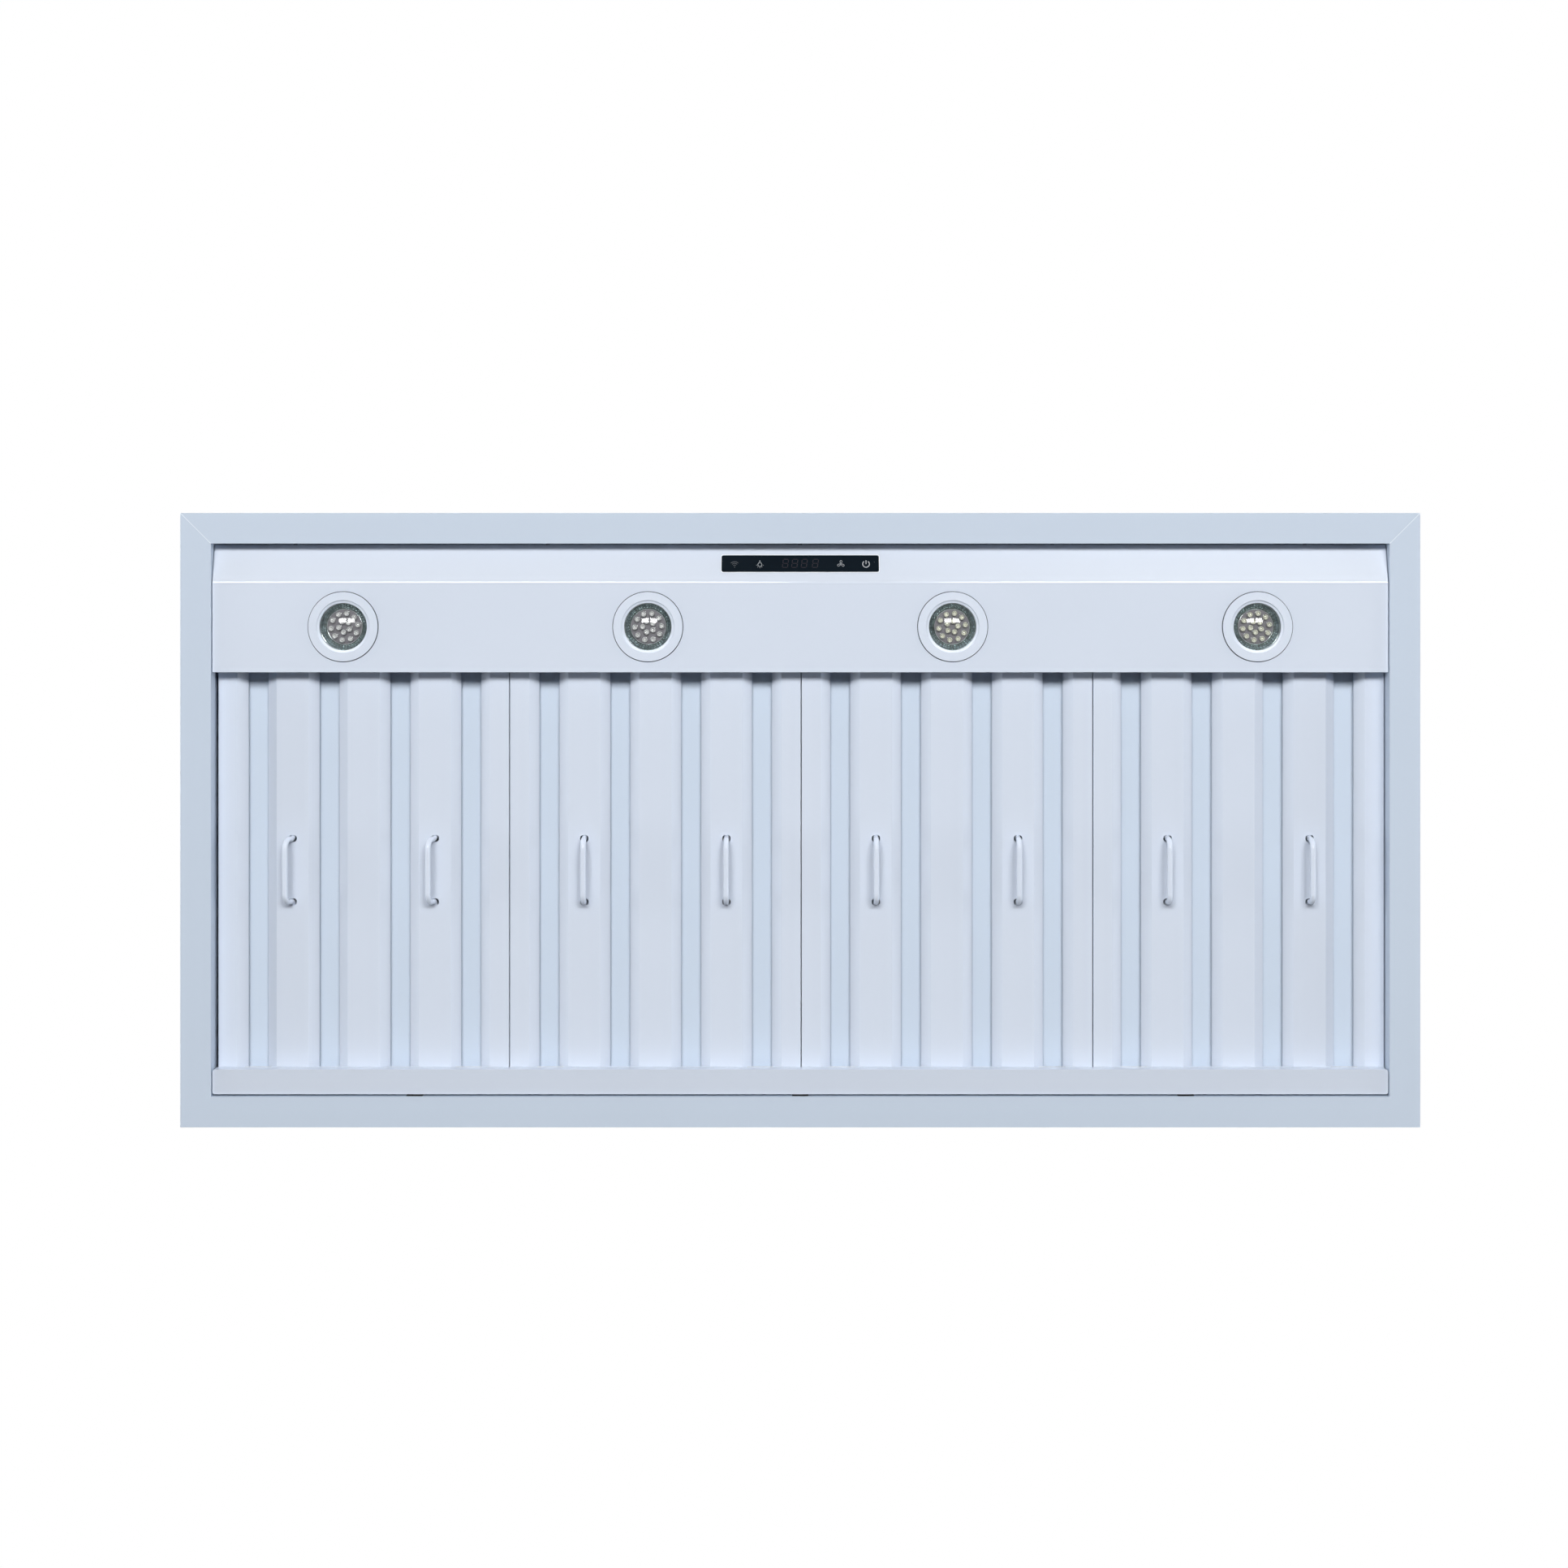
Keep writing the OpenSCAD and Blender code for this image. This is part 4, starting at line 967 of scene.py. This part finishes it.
# %% Print and outline
def mark_look(name, grey):
    """Grey print, or a painted highlight; the ghosts of the digits are nearly as dark as the glass.
    """
    look = Look(name)
    specks = look.noise(0.6 * MM, detail=3)
    return look.finish(Base_Color=look.blend(specks, times(grey, 0.88), times(grey, 1.12)),
                       Roughness=0.3 + specks * 0.1, Specular_IOR_Level=strip_shine)


def strip_outline(grow, corner=1.6, steps=6):
    """The strip's outline with its round corners, grown outwards, as one closed line."""
    low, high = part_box("control_glass")
    half_x = (high.x - low.x) / 2 / MM + grow
    half_y = (high.y - low.y) / 2 / MM / cos(strip_lean) + grow
    line = []
    for turn, (sx, sy) in enumerate(((1, 1), (-1, 1), (-1, -1), (1, -1))):
        start = 90 * turn
        line += arc(sx * (half_x - corner), sy * (half_y - corner), corner,
                    start, start + 90, steps)
    return line + line[:1]


print("the strip's outline has", len(strip_outline(0)), "points")

# %% [markdown]
# ## Drawing the marks
#
# The table gives each mark's line width, its colour and its lines. The marks aren't equally
# bright, so each has its own grey. The last but one isn't a print: it is a painted highlight,
# the bright line where the light panel's sheet ends round the strip, and it rides with the
# panel.

# %% The table of marks
mark_grey = rgb(0.24, 0.26, 0.28)
lamp_x, fan_x, power_x, signal_x = -39.8, 40.1, 64.9, -64.7
digit_places = (-14.6, -5.4, 4.0, 14.9)
bulb_outline = ([(-40.4, 1.5), (-40.5, 0.4)] + arc(lamp_x, -1.3, 1.95, 130, 410, 18)
                + [(-39.1, 0.4), (-39.2, 1.5)])
marks = {
    "signal": (0.62, rgb(0.085, 0.095, 0.105),
               [arc(signal_x, -3.7, radius, 48, 132) for radius in (1.9, 3.6, 5.3)]
               + [arc(signal_x, -3.8, 0.22, 0, 360, 8)]),
    "lamp": (0.78, mark_grey,
             [[(-40.3, 2.6), (-39.3, 2.6)], [(-40.35, 1.9), (-39.25, 1.9)], bulb_outline]
             + [spoke(lamp_x, -1.3, angle, 3.0, 3.5) for angle in (-170, -130, -90, -50, -10)]),
    "fan": (0.68, mark_grey,
            [blade(fan_x, -0.7, angle) for angle in (90, 210, 330)]
            + [arc(fan_x, -0.7, 0.75, 0, 360, 12)]),
    "power": (0.95, rgb(0.40, 0.42, 0.45),
              [arc(power_x, -0.7, 3.3, 128, 412, 24), [(power_x, 3.0), (power_x, -0.8)]]),
    "spot": (0.35, rgb(0.12, 0.13, 0.14), [arc(73.1, 1.3, 0.14, 0, 360, 8)]),
    # a painted highlight along the panel's edge round the strip, not print
    "outline": (0.62, rgb(0.93, 0.96, 1.0), [strip_outline(0.42)]),
    "digits": (0.75, rgb(0.010, 0.007, 0.014),
               [line for x in digit_places for line in digit(x, 0)]),
}
flatness = 0.16
strip_proud = 0.78
for name, (width, grey, lines) in marks.items():
    points, edges = [], []
    for line in lines:
        first = len(points)
        points += [(x * MM, y * MM, 0) for x, y in line]
        edges += [(i, i + 1) for i in range(first, len(points) - 1)]
    drawing = bpy.data.meshes.new("mark_" + name)
    drawing.from_pydata(points, edges, [])
    mark = stroke.cook("mark_" + name, drawing, mark_look("marks_" + name, grey), width=width * MM)
    carrier, sunk = ("light_panel", strip_proud) if name == "outline" else ("control_glass", 0)
    pressed = Matrix.Translation((0, 0, -sunk * MM)) @ Matrix.Diagonal((1, 1, flatness, 1))
    mark.data.transform(strip_place @ pressed)
    hand_over(mark, body_of[carrier], slot_of[carrier])
print("marks:", len(marks))

# %% [markdown]
# ## Camera
#
# The photograph looks straight up from under the lamps. How the rim, the filters and the
# trough shift against each other says that the lens stood a little over two metres below
# the rim, under the lamp band and not under the middle, so the picture was shifted back.

# %% The camera under the hood
camera_drop = 2.3
camera_x, camera_y = -0.016, -0.4916
# what the picture's width takes in at the rim, and how far it is shifted back, in metres
frame_width = 1.5414
frame_shift = -0.154
sensor = 36
lens = bpy.data.cameras.new("under_camera")
lens.sensor_width = sensor
lens.lens = sensor * camera_drop / frame_width
lens.shift_y = frame_shift / frame_width
camera = bpy.data.objects.new("under_camera", lens)
camera_place = Matrix.Translation((camera_x, camera_y, rim_z - camera_drop))
camera.matrix_world = camera_place @ Matrix.Rotation(pi, 4, "X")
bpy.context.scene.collection.objects.link(camera)
bpy.context.scene.camera = camera
print("lens:", round(lens.lens, 1), "mm")

# %% [markdown]
# ## Lights and stage
#
# Two softboxes stand side by side in front of and below the hood, so each step and slot
# throws its shadow towards the wall. Their shine is a pair of its own, a little nearer the
# wall, because in the photograph the lamps mirror two squares and the dark strip mirrors
# nothing. Two low ones at the sides keep the slots' walls from going black. Four weaker ones
# stand round the hood above its rim, where they light its slopes and the flue cover but
# never its underside.


# %% Softboxes
def softbox(name, place, target, width, height, power):
    """An even rectangle of light that faces its target and doesn't show in the picture."""
    light = bpy.data.lights.new(name, "AREA")
    light.shape = "RECTANGLE"
    light.size, light.size_y, light.energy = width, height, power
    made = bpy.data.objects.new(name, light)
    bpy.context.scene.collection.objects.link(made)
    aim = (Vector(target) - Vector(place)).to_track_quat("-Z", "Y")
    made.matrix_world = Matrix.Translation(place) @ aim.to_matrix().to_4x4()
    made.visible_camera = False
    return made


key_reach = 8.0
key_wide = 0.47 * key_reach
key_gap = 0.09 * key_reach
key_x = 0.35
keys = (("key", 0.46, 0.38, 588), ("shine", 0.375, 0.34, 500))
sides = ((-1, "left"), (1, "right"))
for name, lean, deep, power in keys:
    for side, label in sides:
        away = key_x + side * (key_wide + key_gap) / 2
        box = softbox(f"{name}_{label}", (away, panel_high.y - lean * key_reach, rim_z - key_reach),
                      (away, panel_high.y, rim_z), key_wide, deep * key_reach, power)
        box.visible_glossy = name == "shine"
        box.visible_diffuse = name == "key"

hood_y = -0.3
side_reach, side_drop, side_wide, side_high, side_power = 6.0, 0.8, 2, 1.2, 92
for side, label in sides:
    fill = softbox("side_" + label, (side * side_reach, hood_y, rim_z - side_drop),
                   (0, hood_y, rim_z), side_wide, side_high, side_power)
    fill.visible_glossy = False

round_reach, round_z, round_size, round_power = 3.2, 1.9, 1.8, 28
flue_z = 0.35
for number, turn in enumerate((45, 135, 225, 315)):
    way = Vector((cos(radians(turn)), sin(radians(turn)), 0))
    softbox(f"round_{number}", way * round_reach + Vector((0, hood_y, round_z)),
            (0, hood_y, flue_z), round_size, round_size, round_power)
print("softboxes:", len(bpy.data.lights))

# %% [markdown]
# ## World
#
# The world is white to the eye, in a mirror and through glass, and faint as a light, so that
# a white hood doesn't glow. Light Path tells a shader which kind of ray asks.

# %% A white world
world = bpy.data.worlds.new("studio")
bpy.context.scene.world = world
world.use_nodes = True
sky = Web(world.node_tree)
seen = sky.rays("Is Camera Ray")
for kind in ("Is Glossy Ray", "Is Transmission Ray"):
    seen = seen.maths("MAXIMUM", seen, sky.rays(kind))
faint_strength, seen_strength = 0.42, 1.0
faint, white = (
    sky.node("ShaderNodeBackground", None, {"Color": rgb(1, 1, 1), "Strength": strength})
    for strength in (faint_strength, seen_strength))
both = sky.node("ShaderNodeMixShader", None, {0: seen, 1: faint, 2: white})
sky.node("ShaderNodeOutputWorld", None, {"Surface": both})
print("world:", world.name)

# %% [markdown]
# ## Floor
#
# The floor is far below, under the camera and the softboxes. To the eye it glows by itself,
# so it stays evenly pale whatever the lights do. In a mirror it is half as bright, and as a
# light it is nearly black, because it must not brighten the hood from below.

# %% A pale floor
floor_below = 0.3
floor_z = rim_z - key_reach - floor_below
floor_half = 60
floor_corners = ((-1, -1), (1, -1), (1, 1), (-1, 1))
floor_mesh = bpy.data.meshes.new("floor")
floor_mesh.from_pydata([(x * floor_half, y * floor_half, floor_z) for x, y in floor_corners],
                       [], [(0, 1, 2, 3)])
floor = link("floor", floor_mesh)
floor_look = Look("floor")
cloudy = floor_look.noise(0.9, detail=3)
pale = floor_look.node("ShaderNodeEmission", None, {
    "Strength": 1.0,
    "Color": floor_look.blend(cloudy, rgb(0.86, 0.87, 0.88), rgb(0.89, 0.90, 0.91))})
dull = floor_look.node("ShaderNodeBsdfDiffuse", None, {
    "Color": floor_look.blend(cloudy, rgb(0.05, 0.05, 0.05), rgb(0.06, 0.06, 0.06))})
mirror_share = 0.55
seen = (floor_look.rays("Is Camera Ray") + floor_look.rays("Is Glossy Ray") * mirror_share
        + floor_look.rays("Is Transmission Ray"))
both = floor_look.node("ShaderNodeMixShader", None, {0: seen, 1: dull, 2: pale})
floor_look.node("ShaderNodeOutputMaterial", None, {"Surface": both})
floor_mesh.materials.append(floor_look.material)
bpy.context.scene.view_settings.view_transform = "Standard"
print("floor at", round(floor_z, 2), "m")
